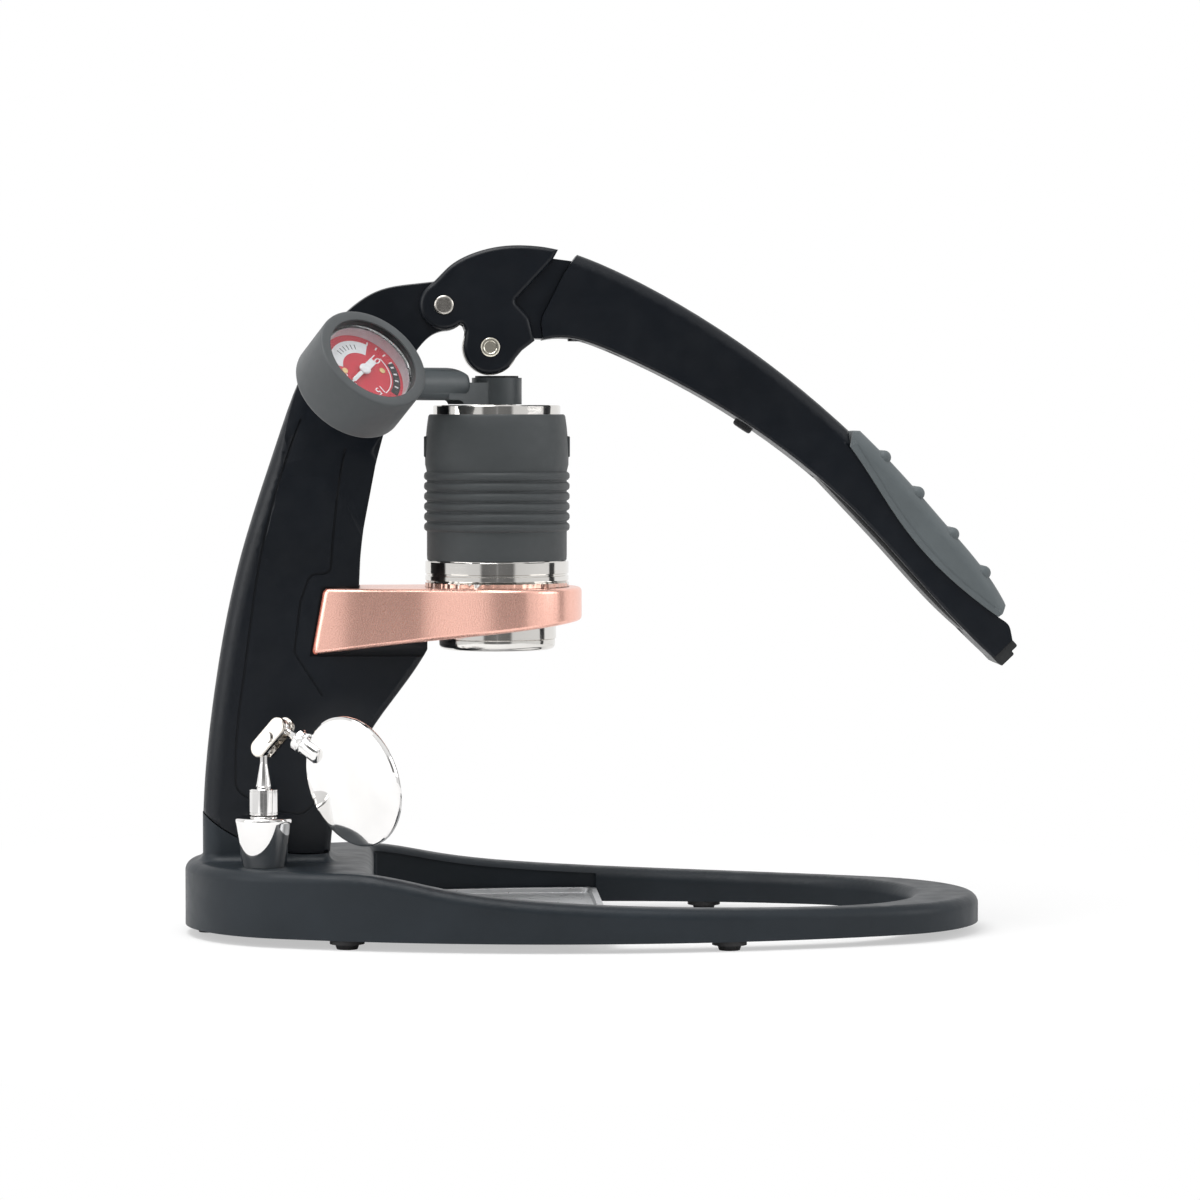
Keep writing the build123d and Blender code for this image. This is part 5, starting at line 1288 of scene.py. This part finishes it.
def add_lamp(name, place, size, power):
    """Soft square lamp that looks at the machine."""
    clear_selection()
    bpy.ops.object.light_add(type="AREA", location=place)
    lamp = bpy.context.object
    lamp.name = name
    lamp.data.size = size
    lamp.data.energy = power
    aim = Vector(LAMP_AIM) - Vector(place)
    lamp.rotation_euler = aim.to_track_quat("-Z", "Y").to_euler()


CAMERA_SIDE = (-0.0488, -0.9988, 0)
SENSOR_WIDTH = 36.0


class ESPRESSO_OT_studio(EspressoOperator):
    """Floor, lamps, world and camera"""

    bl_idname = "espresso.studio"
    bl_label = "Studio"

    def execute(self, context):
        studio = context.scene.studio_settings
        clear_selection()
        bpy.ops.mesh.primitive_plane_add(size=1.0, location=(0, 0, 0))
        floor = context.object
        floor.name = "floor"
        floor.data.materials.append(floor_finish())
        context.scene.world = studio_world(studio.sky)
        add_lamp("upper_lamp", (-0.35, -0.35, 1.25), 0.9, studio.key * 4)
        add_lamp("left_lamp", (-1.3, -0.55, 0.55), 0.8, studio.side * 3)
        add_lamp("right_lamp", (1.3, -0.45, 0.6), 0.8, studio.side * 3)
        place = Vector(CAMERA_SIDE) * studio.distance
        place.z = studio.camera_height
        bpy.ops.object.camera_add(location=place)
        camera = context.object
        camera.name = "camera"
        aim = Vector((0, 0, studio.aim_height)) - place
        camera.rotation_euler = aim.to_track_quat("-Z", "Y").to_euler()
        camera.data.lens = studio.focal
        camera.data.sensor_width = SENSOR_WIDTH
        camera.data.clip_end = 20.0
        context.scene.camera = camera
        context.scene.view_settings.view_transform = "Standard"
        return {"FINISHED"}


STEPS = (
    ESPRESSO_OT_base,
    ESPRESSO_OT_post,
    ESPRESSO_OT_lever,
    ESPRESSO_OT_bolts,
    ESPRESSO_OT_grip,
    ESPRESSO_OT_fork,
    ESPRESSO_OT_cylinder,
    ESPRESSO_OT_sleeve,
    ESPRESSO_OT_basket,
    ESPRESSO_OT_plunger,
    ESPRESSO_OT_gauge,
    ESPRESSO_OT_dial,
    ESPRESSO_OT_needle,
    ESPRESSO_OT_stand,
    ESPRESSO_OT_mirror,
    ESPRESSO_OT_tray,
    ESPRESSO_OT_solids,
    ESPRESSO_OT_studio,
)


class ESPRESSO_PT_panel(bpy.types.Panel):
    """Lists the machine's pieces"""

    bl_idname = "ESPRESSO_PT_panel"
    bl_label = "Espresso Machine"
    bl_space_type = "VIEW_3D"
    bl_region_type = "UI"
    bl_category = "Espresso"

    def draw(self, context):
        scene = context.scene
        for group in (scene.machine_sizes, scene.machine_colours, scene.studio_settings):
            for name in group.__annotations__:
                self.layout.prop(group, name)
        for step in STEPS:
            self.layout.operator(step.bl_idname)


CLASSES = (MachineSizes, MachineColours, StudioSettings, *STEPS, ESPRESSO_PT_panel)


def register():
    """Registers the classes and the settings."""
    for made in CLASSES:
        bpy.utils.register_class(made)
    bpy.types.Scene.machine_sizes = PointerProperty(type=MachineSizes)
    bpy.types.Scene.machine_colours = PointerProperty(type=MachineColours)
    bpy.types.Scene.studio_settings = PointerProperty(type=StudioSettings)


def unregister():
    """Removes the settings and the classes."""
    del bpy.types.Scene.studio_settings
    del bpy.types.Scene.machine_colours
    del bpy.types.Scene.machine_sizes
    for made in reversed(CLASSES):
        bpy.utils.unregister_class(made)


def main():
    """Builds the machine."""
    register()
    for step in STEPS:
        group, name = step.bl_idname.split(".")
        getattr(getattr(bpy.ops, group), name)()
    clear_selection()


if __name__ == "__main__":
    main()
